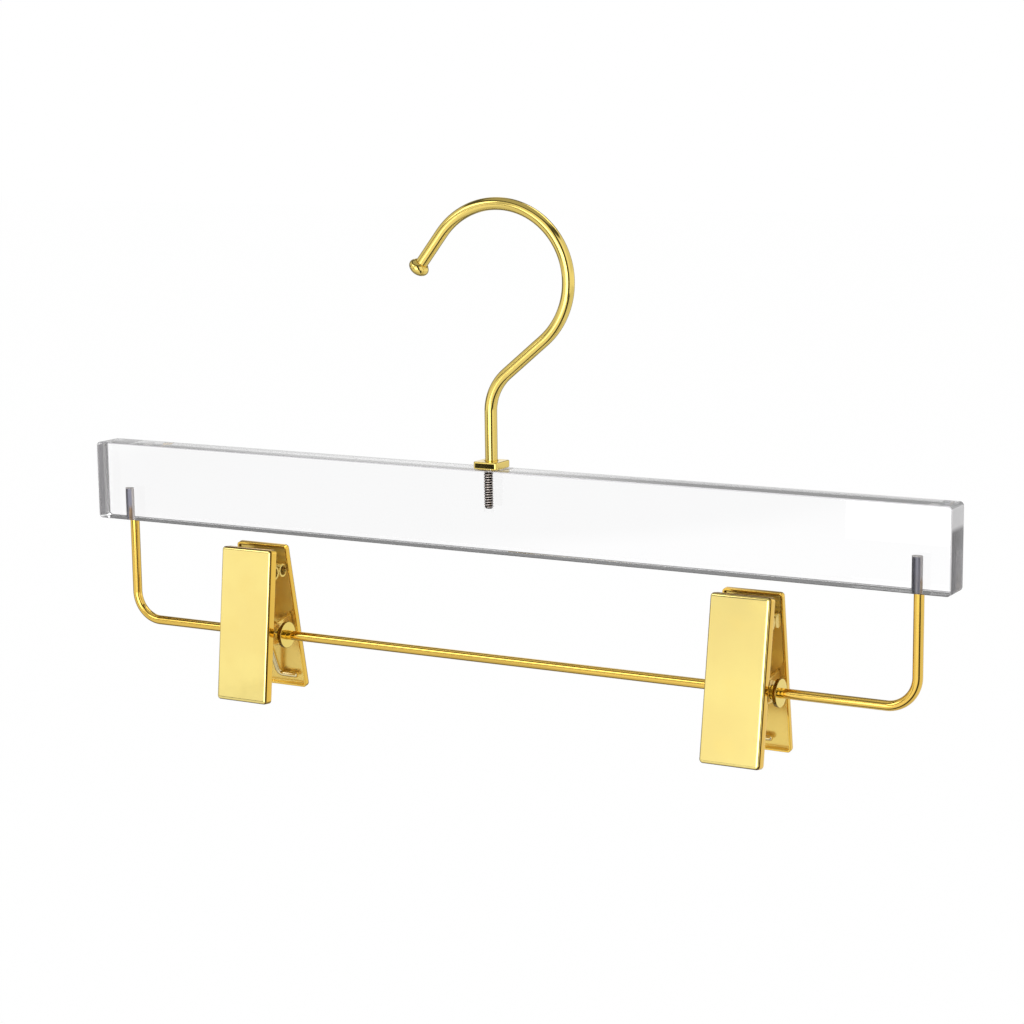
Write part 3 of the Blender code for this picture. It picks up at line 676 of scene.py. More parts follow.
def sawn_acrylic(name, low, high):
    """The bar's sawn ends: less than half clear, the rest a grey haze with fine saw marks.

    The right end is dark below and pale near the top, and the left end is a lighter grey with a pale band and
    then a dark line at its back: painted shade and light over the ends' frosted grey."""
    finish = started(name)
    marks = finish.noise(260.0, stretch=(1.0, 6.0, 1.0))
    right, depth, back = finish.place(0).step(-0.01, 0.01), finish.place(1), BAR_HIGH.y
    left = 1 - right
    # Painted light: the right end turns pale above this height.
    change = BAR_TOP - 0.27 * (BAR_TOP - BAR_LOW.z)
    upper = finish.place(2).step(change - 0.0012, change + 0.0012) * right
    # Painted highlight: a pale band across the left end near its back.
    highlight_strip = depth.band(back - 0.0052, back - 0.0048, back - 0.0024, back - 0.002)
    # Painted light and shade: the left end is a lighter grey and the right end a darker one.
    ground = finish.blend(left, four(low, 0.5), four(low, 2.0))
    # Painted shade: a dark line at the left end's back.
    ground = finish.blend(left * depth.step(back - 0.002, back - 0.0016), ground, four(low, 0.1))
    tint = finish.blend(upper + left * highlight_strip, ground, four(high, 1.1))
    tint = finish.blend(marks.step(0.3, 0.7) * 0.12, tint, WHITE)
    return finish.acrylic(tint, marks * 0.1 + 0.04, 0.4, low)


def drilled_acrylic(name, dark, grey, pale):
    """Walls of the drilled holes: painted light and shade in bands up the wall, dark to pale from left to
    right, a painted reflection of the wire and a painted pale top.

    Across runs from -1 at a hole's left edge to 1 at its right one, as the photograph sees it."""
    finish = started(name)
    deep, leg = sizes("bar").leg_hole_depth, half_wire_span()
    x, y, z = (finish.place(k) for k in range(3))
    right = x.step(-0.001, 0.001)
    left = 1 - right
    beside = x - leg + left * (2 * leg)
    across = (beside * 0.87 + y * 0.49) * (1 / sizes("bar").leg_hole)
    # Painted light and shade: the left holes are a lighter grey, and each hole is dark on its left side, with
    # a paler band, and pale on its right side.
    tint = finish.blend(right, four(grey, 2.0), four(grey))
    tint = finish.blend(across.step(-0.8, -0.45), four(dark), tint)
    tint = finish.blend(across.band(-0.45, -0.35, -0.3, -0.15) * 0.5, tint, four(grey, 1.9))
    tint = finish.blend(across.step(0.12, 0.4), tint, finish.blend(right, four(pale, 1.32), four(pale)))
    aside, low = across + left * 0.75, BAR_LOW.z + deep * 0.35
    # Painted reflection: a brown band where the gold wire shows in the lower wall.
    wire_reflection = aside.band(0.2, 0.35, 0.95, 1.15) * (1 - z.step(low - 0.001, low + 0.0015)) * 0.85
    tint = finish.blend(wire_reflection, tint, four((0.46, 0.28, 0.11)))
    # Painted light: the top of each hole is pale.
    top = BAR_LOW.z + deep
    tint = finish.blend(z.step(top - 0.0005, top - 0.0002), tint, four(pale, 1.1))
    rough = finish.noise(90.0, stretch=(1.0, 1.0, 0.1)) * 0.1 + 0.2
    return finish.acrylic(tint, rough, 0.25, grey)


def finish_named(name):
    """The finish of that short name, made the first time it is asked for."""
    full = "hanger_" + name
    if full in bpy.data.materials:
        return bpy.data.materials[full]
    f = sizes("finish")
    wire, plate, flat = f.wire_gloss, f.plate_gloss, 0.012
    # Painted shade: the inner sides, brackets and grips get darker towards the jaws, between these heights.
    jaws = (wire_height() + 0.018, wire_height() + 0.03)
    makers = {
        "hook_gold": (plated_gold, f.hook_gold, wire, 0.02),
        "collar_gold": (plated_gold, f.hook_gold, wire - 0.05, 0.006),
        "wire_gold": (plated_gold, f.wire_gold, wire, 0.02),
        "spring_gold": (plated_gold, f.spring_gold, wire + 0.05, 0.04),
        "plate_gold": (plated_gold, f.plate_gold, plate, flat),
        "rim_gold": (plated_gold, f.rim_gold, plate, flat),
        "line_gold": (plated_gold, f.line_gold, plate, flat),
        "disc_gold": (plated_gold, f.disc_gold, plate, flat),
        "dark_gold": (plated_gold, f.dark_gold, plate + 0.1, flat),
        "inner_gold": (plated_gold, f.inner_gold, plate + 0.13, flat, 0.65, jaws),
        "stud_steel": (turned_steel, f.crest, f.root),
        "acrylic": (clear_acrylic, f.acrylic, 0.012),
        # Painted reflection: the rounded edges are clear acrylic tinted grey.
        "edge_acrylic": (clear_acrylic, f.edge, 0.05),
        "bonded_acrylic": (clear_acrylic, f.acrylic, 0.05, 0.04),
        "top_acrylic": (buffed_acrylic, f.acrylic, f.line),
        "sawn_acrylic": (sawn_acrylic, f.sawn_low, f.sawn_high),
        "drilled_acrylic": (drilled_acrylic, f.drilled_shade, f.drilled_grey, f.drilled_lit),
    }
    maker, *values = makers[name]
    return maker(full, *values)


# Hook


def hook_frame():
    """From the hook's own frame, its foot on the bar and its plane XZ, to the hanger's."""
    return Matrix.Translation((0, 0, BAR_TOP)) @ Matrix.Rotation(sizes("hook").turn, 4, "Z")


def hook_line():
    """Centre line of the hook: shank, bend, slanting run, arc and straight nose, in its own X and Z."""
    h = sizes("hook")
    centre = (h.arc_offset, h.arc_rise)
    sweep = arc(centre, h.arc_radius, -h.lean, h.arc_end, 120)
    join = sweep[0]
    corner = (0.0, join[1] - join[0] / math.tan(h.lean))
    lower = filleted([(0.0, sizes("clip").gap), corner, tuple(join)], h.bend_radius, 28)
    heading = h.arc_end + QUARTER
    end = sweep[-1] + h.nose * np.array([math.cos(heading), math.sin(heading)])
    return upright(resampled(np.concatenate([lower, sweep[1:], [end]]), 0.0008))


def hook_mesh():
    """The bent wire; the spigot's hole is left shut."""
    mesh = tube("hook_wire_surface", hook_line(), sizes("hook").wire_radius, (0.0, 1.0, 0.0), 64)
    return placed(mesh, hook_frame())


def tip_mesh():
    """The button: a flattened ball whose top curls in to the wire, turned about the wire's end."""
    h = sizes("hook")
    bore, curl, floor = h.wire_radius + 0.00006, 0.00026, -0.0001
    shoulder = bore + 0.0003
    start = math.acos(shoulder / h.tip_radius)
    half = h.tip_height / (1 + math.sin(start))
    middle = h.tip_socket - half * math.sin(start)
    t = np.linspace(start, 0.03 - QUARTER, 40)
    dome = np.stack([h.tip_radius * np.cos(t), middle + half * np.sin(t)], 1)
    top = dome[0, 1]
    lip = arc((shoulder, top - 0.00022), curl, QUARTER / 2, math.pi, 8)[::-1]
    socket = [(0.0002, floor), (bore, floor), (bore, top - 0.0006)]
    mesh = turned("hook_tip_surface", np.concatenate([socket, lip, dome[1:]]), 72, sharp=50.0)
    end, lean = hook_line()[-1], h.arc_end - QUARTER
    return placed(mesh, hook_frame(), Matrix.Translation(end), Matrix.Rotation(QUARTER - lean, 4, "Y"))


def collar_mesh():
    """The square collar: the bore, then the rounded top, the side and the rounded bottom, as stacked loops.

    A loop is a blend from the bore's circle to the rounded square, by the section's share."""
    h = sizes("hook")
    half, edge, lip, flat = (COLLAR_HIGH.x - COLLAR_LOW.x) / 2, h.collar_edge, 0.00035, 0.00015
    top, bottom, bore = COLLAR_HIGH.z, COLLAR_LOW.z, h.wire_radius + 0.0001
    square = resampled_loop(rounded_rectangle(half, half, h.collar_corner, 10), 160)
    bearing = np.arctan2(square[:, 1], square[:, 0])
    circle = bore * np.stack([np.cos(bearing), np.sin(bearing)], 1)
    upper, lower = quarter((edge, top - edge), edge, 1, 1), quarter((edge, bottom + edge), edge, 2, 1)
    side = [(0.0, top - edge - flat), (0.0, bottom + edge + flat)]
    mouth = quarter((lip, top - lip), lip, 2, -1, 5)
    loops = [(circle * (1 + grown / bore), height) for grown, height in mouth]
    for out in (0.5, 0.9):
        loops.append((circle * (1 + lip / bore) * (1 - out) + square * (1 - edge / half) * out, top))
    loops += [(square * (1 - inset / half), height) for inset, height in (*upper, *side, *lower)]
    loops.append((circle, bottom))
    rings = np.stack([np.insert(flat_loop, 2, height, axis=1) for flat_loop, height in loops])
    return surface("hook_collar_surface", rings, close_rows=True, sharp=40.0)


def resampled_loop(loop, count):
    """A closed loop with an even count of points along its length."""
    closed = np.concatenate([loop, loop[:1]])
    along = distances(closed)
    t = np.arange(count) * along[-1] / count
    return np.stack([np.interp(t, along, closed[:, k]) for k in (0, 1)], 1)


def stud_mesh():
    """The stud: at each angle and height the radius is the root plus a ridge that climbs one pitch a turn."""
    h = sizes("hook")
    top, low, spigot, sides = BAR_TOP, STUD_LOW.z, STUD_HIGH.z, 64
    root, chamfer = STUD_RADIUS - h.thread_depth, 0.0007
    z = np.linspace(top - 0.0002, low, int((top - low) / h.thread_pitch * 18))[:, None]
    phase = (z / h.thread_pitch - np.arange(sides)[None, :] / sides) % 1.0
    ridge = np.clip(1.25 - 3.0 * np.abs(phase - 0.5), 0.0, 1.0)
    fade = np.clip((z - low) / 0.0008, 0.0, 1.0) * np.clip((top - 0.0004 - z) / 0.0006, 0.0, 1.0)
    grown = np.minimum(root + h.thread_depth * ridge * fade, STUD_RADIUS - chamfer + (z - low))
    neck = [(h.spigot_radius - 0.0001, spigot), (h.spigot_radius, spigot - 0.0001), (h.spigot_radius, top)]
    neck = np.array([*neck, (root, top)])
    rings = [circled(neck[:, :1], neck[:, 1:], sides), circled(grown, z, sides)]
    return surface("hook_stud_surface", np.concatenate(rings), sharp=60.0)


# Bar and trapeze


BAR_SURFACES = ("", "drilled_", "sawn_", "edge_", "bonded_", "top_")
BAR_FINISHES = tuple(part + "acrylic" for part in BAR_SURFACES)
CLEAR, DRILLED, SAWN, SHADED_EDGE, BONDED, TOP = range(len(BAR_FINISHES))


def upright_cutter(radius, low, high, x, slot):
    """A plain cylinder along Z that cuts a hole; its walls take the finish of that slot."""
    mesh = turned("cutter", np.array([[HAIR, high], [radius, high], [radius, low], [HAIR, low]]))
    mesh.transform(Matrix.Translation((x, 0, 0)))
    return dressed(mesh, BAR_FINISHES, slot)


def bar_mesh():
    """The clear bar: rounded rectangles stacked from front to back, less the stud's and the legs' holes."""
    b = sizes("bar")
    half, middle = (BAR_HIGH - BAR_LOW) / 2, (BAR_HIGH + BAR_LOW) / 2
    front = quarter((b.edge, b.edge - half.y), b.edge, -1, -1, 5)
    section = np.concatenate([front, front[::-1] * (1, -1)])
    mesh = stacked_outline("acrylic_bar_surface", half.x, half.z, b.corner, section, sharp=80.0)
    placed(mesh, Matrix.Translation(middle), Matrix(((1, 0, 0), (0, 0, 1), (0, 1, 0))).to_4x4())
    normals = face_values(mesh, "normal")
    across, through = np.abs(normals[:, :2]).T
    rounded = (through > 0.1) & (through < 0.99)
    # Rounded edges take the grey edge acrylic, a painted reflection.
    slots = np.select([across > 0.9, normals[:, 2] > 0.3, rounded], [SAWN, TOP, SHADED_EDGE], CLEAR)
    dressed(mesh, BAR_FINISHES, slots)
    leg, low, deep = half_wire_span(), BAR_LOW.z - REACH_PAST, BAR_LOW.z + b.leg_hole_depth
    stud = upright_cutter(b.stud_hole, STUD_LOW.z - b.stud_hole_spare, BAR_TOP + REACH_PAST, 0.0, BONDED)
    return cut(mesh, [stud, *(upright_cutter(b.leg_hole, low, deep, x, DRILLED) for x in (-leg, leg))])


def half_wire_span():
    """From the hanger's middle to a leg's centre line."""
    return (WIRE_HIGH.x - WIRE_LOW.x) / 2 - wire_radius()


def wire_radius():
    """Half the thickness of the trapeze wire, from its packed solid."""
    return (WIRE_HIGH.y - WIRE_LOW.y) / 2


def cut(mesh, cutters):
    """The mesh less its cutters, worked out once, with the helpers removed."""
    base = added("cut_base", mesh)
    helpers = [added(f"cutter_{index}", cutter) for index, cutter in enumerate(cutters)]
    for index, helper in enumerate(helpers):
        step = base.modifiers.new(f"cut_{index}", "BOOLEAN")
        step.operation = "DIFFERENCE"
        step.solver = "EXACT"
        step.object = helper
    bpy.context.view_layer.update()
    made = bpy.data.meshes.new_from_object(base.evaluated_get(bpy.context.evaluated_depsgraph_get()))
    for helper in [base, *helpers]:
        bpy.data.objects.remove(helper, do_unlink=True)
    return smoothed(made, 40.0)


def trapeze_mesh():
    """The U-shaped wire: down one leg, round a bend, along under the bar, round and up again."""
    span, top, low = half_wire_span(), WIRE_HIGH.z, wire_height()
    corners = [(-span, top), (-span, low), (span, low), (span, top)]
    path = upright(resampled(filleted(corners, sizes("bar").wire_bend, 36), 0.004))
    return tube("trapeze_wire_surface", path, wire_radius(), (0.0, 1.0, 0.0), 56)


# Clips


def wire_height():
    """Height of the trapeze's lower run, on which the clips turn."""
    return WIRE_LOW.z + wire_radius()


def clip_frame(side, part=None):
    """From a clip's own frame to the hanger's; the front half is the rear half turned about Z."""
    c = sizes("clip")
    roll = c.left_roll if side == "left" else c.right_roll
    low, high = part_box(f"{side}_front_plate")
    whole = Matrix.Translation(((low.x + high.x) / 2, 0, wire_height())) @ Matrix.Rotation(roll, 4, "X")
    return whole @ Matrix.Rotation(math.pi, 4, "Z") if part == "front" else whole


def grip_depth():
    """From a plate's outer face to the grip tube's centre."""
    c = sizes("clip")
    return c.sheet + c.gap + c.bracket + c.gap + c.grip_radius


def jaw_half():
    """From the clip's middle plane to a plate's outer face at its top edge."""
    c = sizes("clip")
    return c.gap / 2 + c.grip_radius + grip_depth() * math.cos(c.tilt) - c.grip_drop * math.sin(c.tilt)


def pivot_rise():
    """From the wire up to a plate's top edge."""
    c = sizes("clip")
    return (c.drop + jaw_half() * math.sin(c.tilt)) / math.cos(c.tilt)


def plate_frame():
    """From a plate's own frame, its top edge at the origin and its outer face at Y = 0, to the clip's."""
    return Matrix.Translation((0, jaw_half(), pivot_rise())) @ Matrix.Rotation(sizes("clip").tilt, 4, "X")


PLATE_FINISHES = ("plate_gold", "inner_gold", "rim_gold", "line_gold")
FACE, INNER, RIM, REFLECTED_LINE = range(len(PLATE_FINISHES))


def plate_mesh(side, part):
    """A stamped pan: its outline, drawn in along the face's edge, down the rim, round the lip and back."""
    c = sizes("clip")
    flange = c.front_flange if part == "front" else c.rear_flange
    lip, fillet = c.sheet * 0.3, c.sheet * 0.5
    section = [
        quarter((c.edge, c.edge), c.edge, -1, -1),
        quarter((lip, flange - lip), lip, 2, -1),
        quarter((c.sheet - lip, flange - lip), lip, 1, -1),
        quarter((c.sheet + fillet, c.sheet + fillet), fillet, 2, 1),
    ]
    section = np.concatenate(section)
    mesh = stacked_outline(f"{side}_{part}_plate_surface", c.width / 2, c.length / 2, c.corner, section)
    # Rows four and five, at the end of the face's rounding, take the dark edge-line gold, a painted
    # reflection.
    row, first_reflected_line, first_rim, first_inner = np.arange(len(section) + 1), 4, 6, 15
    slots = np.select([row >= first_inner, row >= first_rim, row >= first_reflected_line], [INNER, RIM, REFLECTED_LINE], FACE)
    dressed(mesh, PLATE_FINISHES, np.append(np.repeat(slots, OUTLINE_POINTS), [FACE, INNER]))
    lie = Matrix(((1, 0, 0, 0), (0, 0, -1, 0), (0, 1, 0, -c.length / 2), (0, 0, 0, 1)))
    return placed(mesh, clip_frame(side, part), plate_frame(), lie)


def grip_mesh(side, part):
    """A rolled tube: the outer circle from lip to lip, round it, back along the inner one, carried along X.

    The right clip's tubes have a thin disc in each end."""
    c = sizes("clip")
    inner, lip = c.grip_radius - c.grip_wall, c.grip_wall / 2
    start, end = c.tilt + c.grip_seam, c.tilt + TURN - c.grip_seam
    loop = []
    for radius, at, to, turn in ((c.grip_radius, start, end, 0.0), (inner, end, start, math.pi)):
        middle = (inner + lip) * np.array([math.cos(to), math.sin(to)])
        loop += [arc((0, 0), radius, at, to, 64), arc(middle, lip, to + turn, to + turn + math.pi, 8)[1:-1]]
    loop = np.concatenate(loop)
    half = c.width / 2 - c.sheet - c.grip_side_gap
    rings = np.stack([np.insert(loop, 0, x, axis=1) for x in (-half, half)])
    shells = [surface(f"{side}_{part}_grip_surface", rings, sharp=40.0)]
    if side == "right":
        shells += [along_x(end_disc(c.grip_radius - 0.00008, x)) for x in (-half, half)]
    spot = Matrix.Translation(plate_spot(grip_depth(), c.grip_drop))
    return placed(joined(shells), clip_frame(side, part), spot)


def end_disc(radius, place):
    """A thin disc that closes a grip tube's end: flat faces and a rounded edge, turned about Z."""
    thick, edge = 0.0001, 0.00008
    flat = [(HAIR, thick), (radius - edge - 0.0001, thick)]
    half = np.concatenate([flat, quarter((radius - edge, thick - edge), edge, 1, -1, 4)])
    mesh = turned("end_disc", np.concatenate([half, half[::-1] * (1, -1)]))
    mesh.transform(Matrix.Translation((0, 0, place)))
    return mesh


def joined(meshes):
    """One mesh of several closed shells."""
    work = bmesh.new()
    for mesh in meshes:
        work.from_mesh(mesh)
    work.to_mesh(meshes[0])
    work.free()
    for mesh in meshes[1:]:
        bpy.data.meshes.remove(mesh)
    return meshes[0]


def bracket_mesh(node):
    """A copy of a packed bracket with its doubled corners merged."""
    work = bmesh.new()
    work.from_mesh(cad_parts[node].data)
    work.transform(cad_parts[node].matrix_world)
    bmesh.ops.remove_doubles(work, verts=work.verts, dist=1e-6)
    mesh = bpy.data.meshes.new(node + "_surface")
    work.to_mesh(mesh)
    work.free()
    mesh.materials.clear()
    return smoothed(mesh, 35.0)


def plate_spot(depth, drop):
    """The place in the clip's frame of a point behind a plate's outer face and below its top edge."""
    return plate_frame() @ Vector((0, -depth, -drop))


def along_x(mesh):
    """Lays a body turned about Z along X, its top to the right."""
    mesh.transform(Matrix.Rotation(QUARTER, 4, "Y"))
    return mesh


DISC_FINISHES = ("disc_gold", "dark_gold")


def clip_ends(side, part):
    """A packed piece's two ends along the wire, from the clip's middle."""
    low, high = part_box(f"{side}_{part}")
    middle = clip_frame(side).translation.x
    return low.x - middle, high.x - middle


def disc_mesh(side, part, corners, radii):
    """A hollow body turned about the wire with its corners rounded, and painted shade on its outermost faces,
    which take a darker gold.
    """
    profile = filleted([*corners, corners[0]], radii)[:-1]
    mesh = turned(f"{side}_{part}_surface", profile, 96, close=True, sharp=50.0)
    reach = np.hypot(*face_values(mesh, "center")[:, :2].T)
    # Painted shade: faces at the outer rim take the darker gold.
    dressed(mesh, DISC_FINISHES, reach > sizes("clip").disc_radius - 0.0001)
    return placed(along_x(mesh), clip_frame(side))


def rivet_mesh(side):
    """The hollow rivet: its bore, its head's rounded rim, and its tube with a rolled-over tail."""
    c = sizes("clip")
    low, high = clip_ends(side, "pivot_rivet")
    bore, reach = wire_radius() + 0.00004, wire_radius() + RIVET_GAP + RIVET_SKIN
    head = [(c.disc_radius, high), (c.disc_radius, c.disc_place), (reach, c.disc_place)]
    corners = [(bore, low), (bore, high), *head, (reach, low)]
    return disc_mesh(side, "rivet", corners, [0.00004, 0.00022, 0.00022, 0.0001, 0.00015])


def washer_mesh(side):
    """The washer on the rivet's tail: bore, outer rim and both faces."""
    low, high = clip_ends(side, "pivot_washer")
    bore, rim, edge = wire_radius() + 0.0008, sizes("clip").disc_radius, 0.00022
    corners = [(bore, low), (bore, high), (rim, high), (rim, low)]
    return disc_mesh(side, "washer", corners, [edge / 3, edge, edge])


def spring_line(side):
    """Centre line of a spring and the vectors across it: front foot and leg, coil, rear leg and foot.

    The coil climbs one pitch a turn; its middle is half way between the packed spring's legs."""
    c = sizes("clip")
    coil = wire_radius() + RIVET_GAP + RIVET_SKIN + c.coil_gap + c.spring_radius
    spot = plate_spot(c.sheet + c.gap + c.spring_radius, c.spring_drop)
    leave = math.atan2(spot.z, spot.y) + math.acos(coil / math.hypot(spot.y, spot.z))
    sweep = TURN * c.spring_turns + math.pi - 2 * leave
    half = c.spring_pitch * sweep / (2 * TURN)
    middle = sum(clip_ends(side, "spring")) / 2
    t = np.linspace(0.0, 1.0, int(sweep / TURN * 72))
    bearing = math.pi - leave - t * sweep
    across = np.stack([np.zeros(len(t)), np.cos(bearing), np.sin(bearing)], 1)
    turns = np.insert(coil * across[:, 1:], 0, middle + half - t * 2 * half, axis=1)
    legs = []
    for way in (-1, 1):
        place, y = middle - way * half, way * spot.y
        top = (place, way * coil * math.cos(leave), coil * math.sin(leave))
        corners = [top, (place, y, spot.z), (place + way * c.spring_foot, y, spot.z)]
        leg = resampled(filleted(corners, c.spring_bend, 14), 0.001)
        legs.append((leg, np.broadcast_to((0.0, way * math.cos(leave), math.sin(leave)), leg.shape)))
    (front, front_across), (rear, rear_across) = legs
    path = np.concatenate([front[::-1], turns[1:-1], rear])
    return path, np.concatenate([front_across[::-1], across[1:-1], rear_across])


def spring_mesh(side):
    """The torsion spring: a round wire along its line, with round ends."""
    path, across = spring_line(side)
    radius = sizes("clip").spring_radius
    mesh = tube(f"{side}_spring_surface", path, radius, across, 28, edge=radius * 0.9)
    return placed(mesh, clip_frame(side))


# Stage


# The tent's flags: bearing from the front towards the right, half width and softness in degrees, level
WALL_SHINE = (
    (38.0, 11.0, 4.0, 0.08),
    (188.0, 18.0, 6.0, 0.3),
    (-151.0, 14.0, 4.0, 0.62),
    (-105.0, 27.0, 8.0, 0.22),
)
LINE_SHINE = ((-33.0, 14.0, 6.0, 0.08),)
WALL_CLEAR = ((-151.0, 16.0, 4.0, 0.2), (147.0, 13.0, 3.0, 0.28))
FLOOR_SHINE = (
    (38.0, 11.0, 4.0, 0.05),
    (130.0, 38.0, 8.0, 0.8),
    (188.0, 16.0, 6.0, 0.25),
    (-60.0, 42.0, 12.0, 0.72),
    (-122.0, 16.0, 8.0, 0.3),
)
NEAR_SHINE = (
    (2.0, 26.0, 6.0, 1.0),
    (54.0, 13.0, 4.0, 0.05),
    (130.0, 38.0, 8.0, 0.8),
    (188.0, 16.0, 6.0, 0.25),
    (-115.0, 30.0, 8.0, 0.25),
)
FLOOR_CLEAR = ((147.0, 14.0, 3.0, 0.28), (-29.0, 16.0, 6.0, 0.9))
FLOOR_HEIGHT = FULL_BOX[0][2] - 0.16
FLOOR_HALF = 6.0
COLLAR_SPOT = (-0.825, -1.433, FLOOR_HEIGHT)


def stage_floor(f):
    """A wide pale floor: white to the eye and through the bar, with the lamps' shade kept on it.

    Polished pieces mirror it as rings round the hanger, each with its own flags; near it is dimmer, and
    one dark spot lies where the collar's front mirrors it."""
    finish = started("studio_floor")
    eye, shine, through = finish.rays("Camera", "Glossy", "Transmission")
    way = finish.spot()
    reach = finish.vector("LENGTH", way)
    plain = finish.blend(finish.noise(3.0), four(f.floor), four(f.floor, 1.02))
    level = finish.tent(way, 0.8, NEAR_SHINE)
    level = toward(level, reach.step(1.25, 1.45), finish.tent(way, 0.95, FLOOR_SHINE))
    level = toward(level, reach.step(2.2, 2.7), finish.tent(way, 1.0, WALL_SHINE))
    level = level * (0.02 + finish.vector("DISTANCE", way, COLLAR_SPOT).step(0.36, 0.48) * 0.98)
    mirrored = finish.grey(level * (0.45 + reach.step(0.2, 0.55) * 0.55))
    clear = finish.grey(finish.tent(way, 1.0, FLOOR_CLEAR))
    tone = finish.blend(eye, finish.blend(through, mirrored, clear), WHITE)
    values = {
        0: eye.maximum(shine) * 0.985,
        1: finish.node("BsdfDiffuse", None, {"Color": plain}).outputs[0],
        2: finish.node("Emission", None, {"Color": tone, "Strength": 1.0}).outputs[0],
    }
    return finish.surface(finish.node("MixShader", None, values))


def studio_world():
    """A white tent with flags at set bearings and a dim ceiling; the eye sees plain white."""
    world = bpy.data.worlds.new("studio")
    bpy.context.scene.world = world
    finish = Finish(world)
    way, rise = finish.spot("Generated"), finish.place(2, "Generated")
    eye, through, dull = finish.rays("Camera", "Transmission", "Diffuse")
    level = finish.tent(way, 1.0, WALL_SHINE)
    level = toward(level, rise.step(0.04, 0.16), finish.tent(way, 1.0, FLOOR_SHINE))
    level = level * toward(1, rise.band(0.14, 0.16, 0.25, 0.28), finish.tent(way, 1.0, LINE_SHINE))
    for part, other in ((rise.step(0.62, 0.68), 0.08), (rise.step(0.78, 0.86), 0.45), (dull, 0.85)):
        level = toward(level, part, other)
    tone = finish.blend(through, finish.grey(level), finish.grey(finish.tent(way, 1.0, WALL_CLEAR)))
    tone = finish.blend(eye, tone, WHITE)
    light = finish.node("Background", None, {"Color": tone, "Strength": 1.0})
    finish.node("OutputWorld", None, {"Surface": light.outputs[0]})


def lamp(name, place, target, size, power):
    """A soft rectangular lamp that faces its target."""
    data = bpy.data.lights.new(name, "AREA")
    data.shape = "RECTANGLE"
    data.size, data.size_y = size
    data.energy = power
    aim = (Vector(target) - Vector(place)).to_track_quat("-Z", "Y")
    added(name, data).matrix_world = Matrix.Translation(place) @ aim.to_matrix().to_4x4()


def camera():
    """The photograph's view: bearing and height of eye, distance and lens as fitted to the bar and clips."""
    bearing, height, roll = 0.512832, 0.173551, -0.012471
    distance, pixels, image, sensor = 0.900147, 2470.974, 1024, 36.0
    target = Vector((0.0083175, 0.0, (BAR_LOW.z + BAR_HIGH.z) / 2 - 0.0001455))
    level = Vector((-math.sin(bearing), math.cos(bearing), 0.0))
    ahead = level * math.cos(height) - Vector((0.0, 0.0, math.sin(height)))
    right = Vector((math.cos(bearing), math.sin(bearing), 0.0))
    up = right.cross(ahead)
    right, up = math.cos(roll) * right + math.sin(roll) * up, math.cos(roll) * up - math.sin(roll) * right
    data = bpy.data.cameras.new("photo_camera")
    data.sensor_width = sensor
    data.lens = pixels / image * sensor
    data.clip_start, data.clip_end = 0.01, 100.0
    obj = added("photo_camera", data)
    turn = Matrix((right, up, -ahead)).transposed().to_4x4()
    obj.matrix_world = Matrix.Translation(target - ahead * distance) @ turn
    bpy.context.scene.camera = obj


# Operators


class HangerStage(Operator):
    """Adds the floor, the light and the camera"""

    bl_idname = "hanger.stage"
    bl_label = "Stage, light and camera"

    def execute(self, context):
        spots = ((-1, -1), (1, -1), (1, 1), (-1, 1))
        mesh = bpy.data.meshes.new("studio_floor")
        corners = [(x * FLOOR_HALF, y * FLOOR_HALF, FLOOR_HEIGHT) for x, y in spots]
        mesh.from_pydata(corners, [], [(0, 1, 2, 3)])
        mesh.materials.append(stage_floor(sizes("finish")))
        floor = added("studio_floor", mesh)
        studio_world()
        lamp("front_box", (0.06, -1.12, -0.06), (0.06, 0.0, -0.06), (0.72, 0.54), 2.9)
        lamp("left_box", (-0.62, -0.86, 0.5), (0.0, 0.0, -0.12), (0.5, 0.42), 1.3)
        lamp("back_box", (0.3, 1.0, 1.2), (0.0, 0.0, -0.1), (1.0, 0.5), 3.0)
        camera()
        context.scene.view_settings.view_transform = "Standard"
        return {"FINISHED"}


class HangerHook(Operator):
    """Makes the hook's wire and the button on its end"""

    bl_idname = "hanger.hook"
    bl_label = "Hook and button"

    def execute(self, context):
        piece("hook_wire", hook_mesh(), ["hook_gold"], "hook")
        piece("hook_tip", tip_mesh(), ["hook_gold"], "hook")
        return {"FINISHED"}


class HangerCollar(Operator):
    """Makes the square collar and the threaded stud under it"""

    bl_idname = "hanger.collar"
    bl_label = "Collar and stud"

    def execute(self, context):
        piece("hook_collar", collar_mesh(), ["collar_gold"], "bar")
        piece("hook_stud", stud_mesh(), ["stud_steel"], "hook")
        return {"FINISHED"}


class HangerBar(Operator):
    """Makes the clear bar with its drilled holes"""

    bl_idname = "hanger.bar"
    bl_label = "Acrylic bar"

    def execute(self, context):
        piece("acrylic_bar", bar_mesh(), BAR_FINISHES, "bar")
        return {"FINISHED"}


class HangerTrapeze(Operator):
    """Makes the trapeze wire under the bar"""

    bl_idname = "hanger.trapeze"
    bl_label = "Trapeze wire"

    def execute(self, context):
        piece("trapeze_wire", trapeze_mesh(), ["wire_gold"], "bar")
        return {"FINISHED"}


class HangerPlates(Operator):
    """Makes the clips' stamped plates"""

    bl_idname = "hanger.plates"
    bl_label = "Clip plates"

    def execute(self, context):
        for side, part in CLIP_HALVES:
            body = f"{side}_{part}"
            piece(body + "_plate", plate_mesh(side, part), PLATE_FINISHES, body)
        return {"FINISHED"}


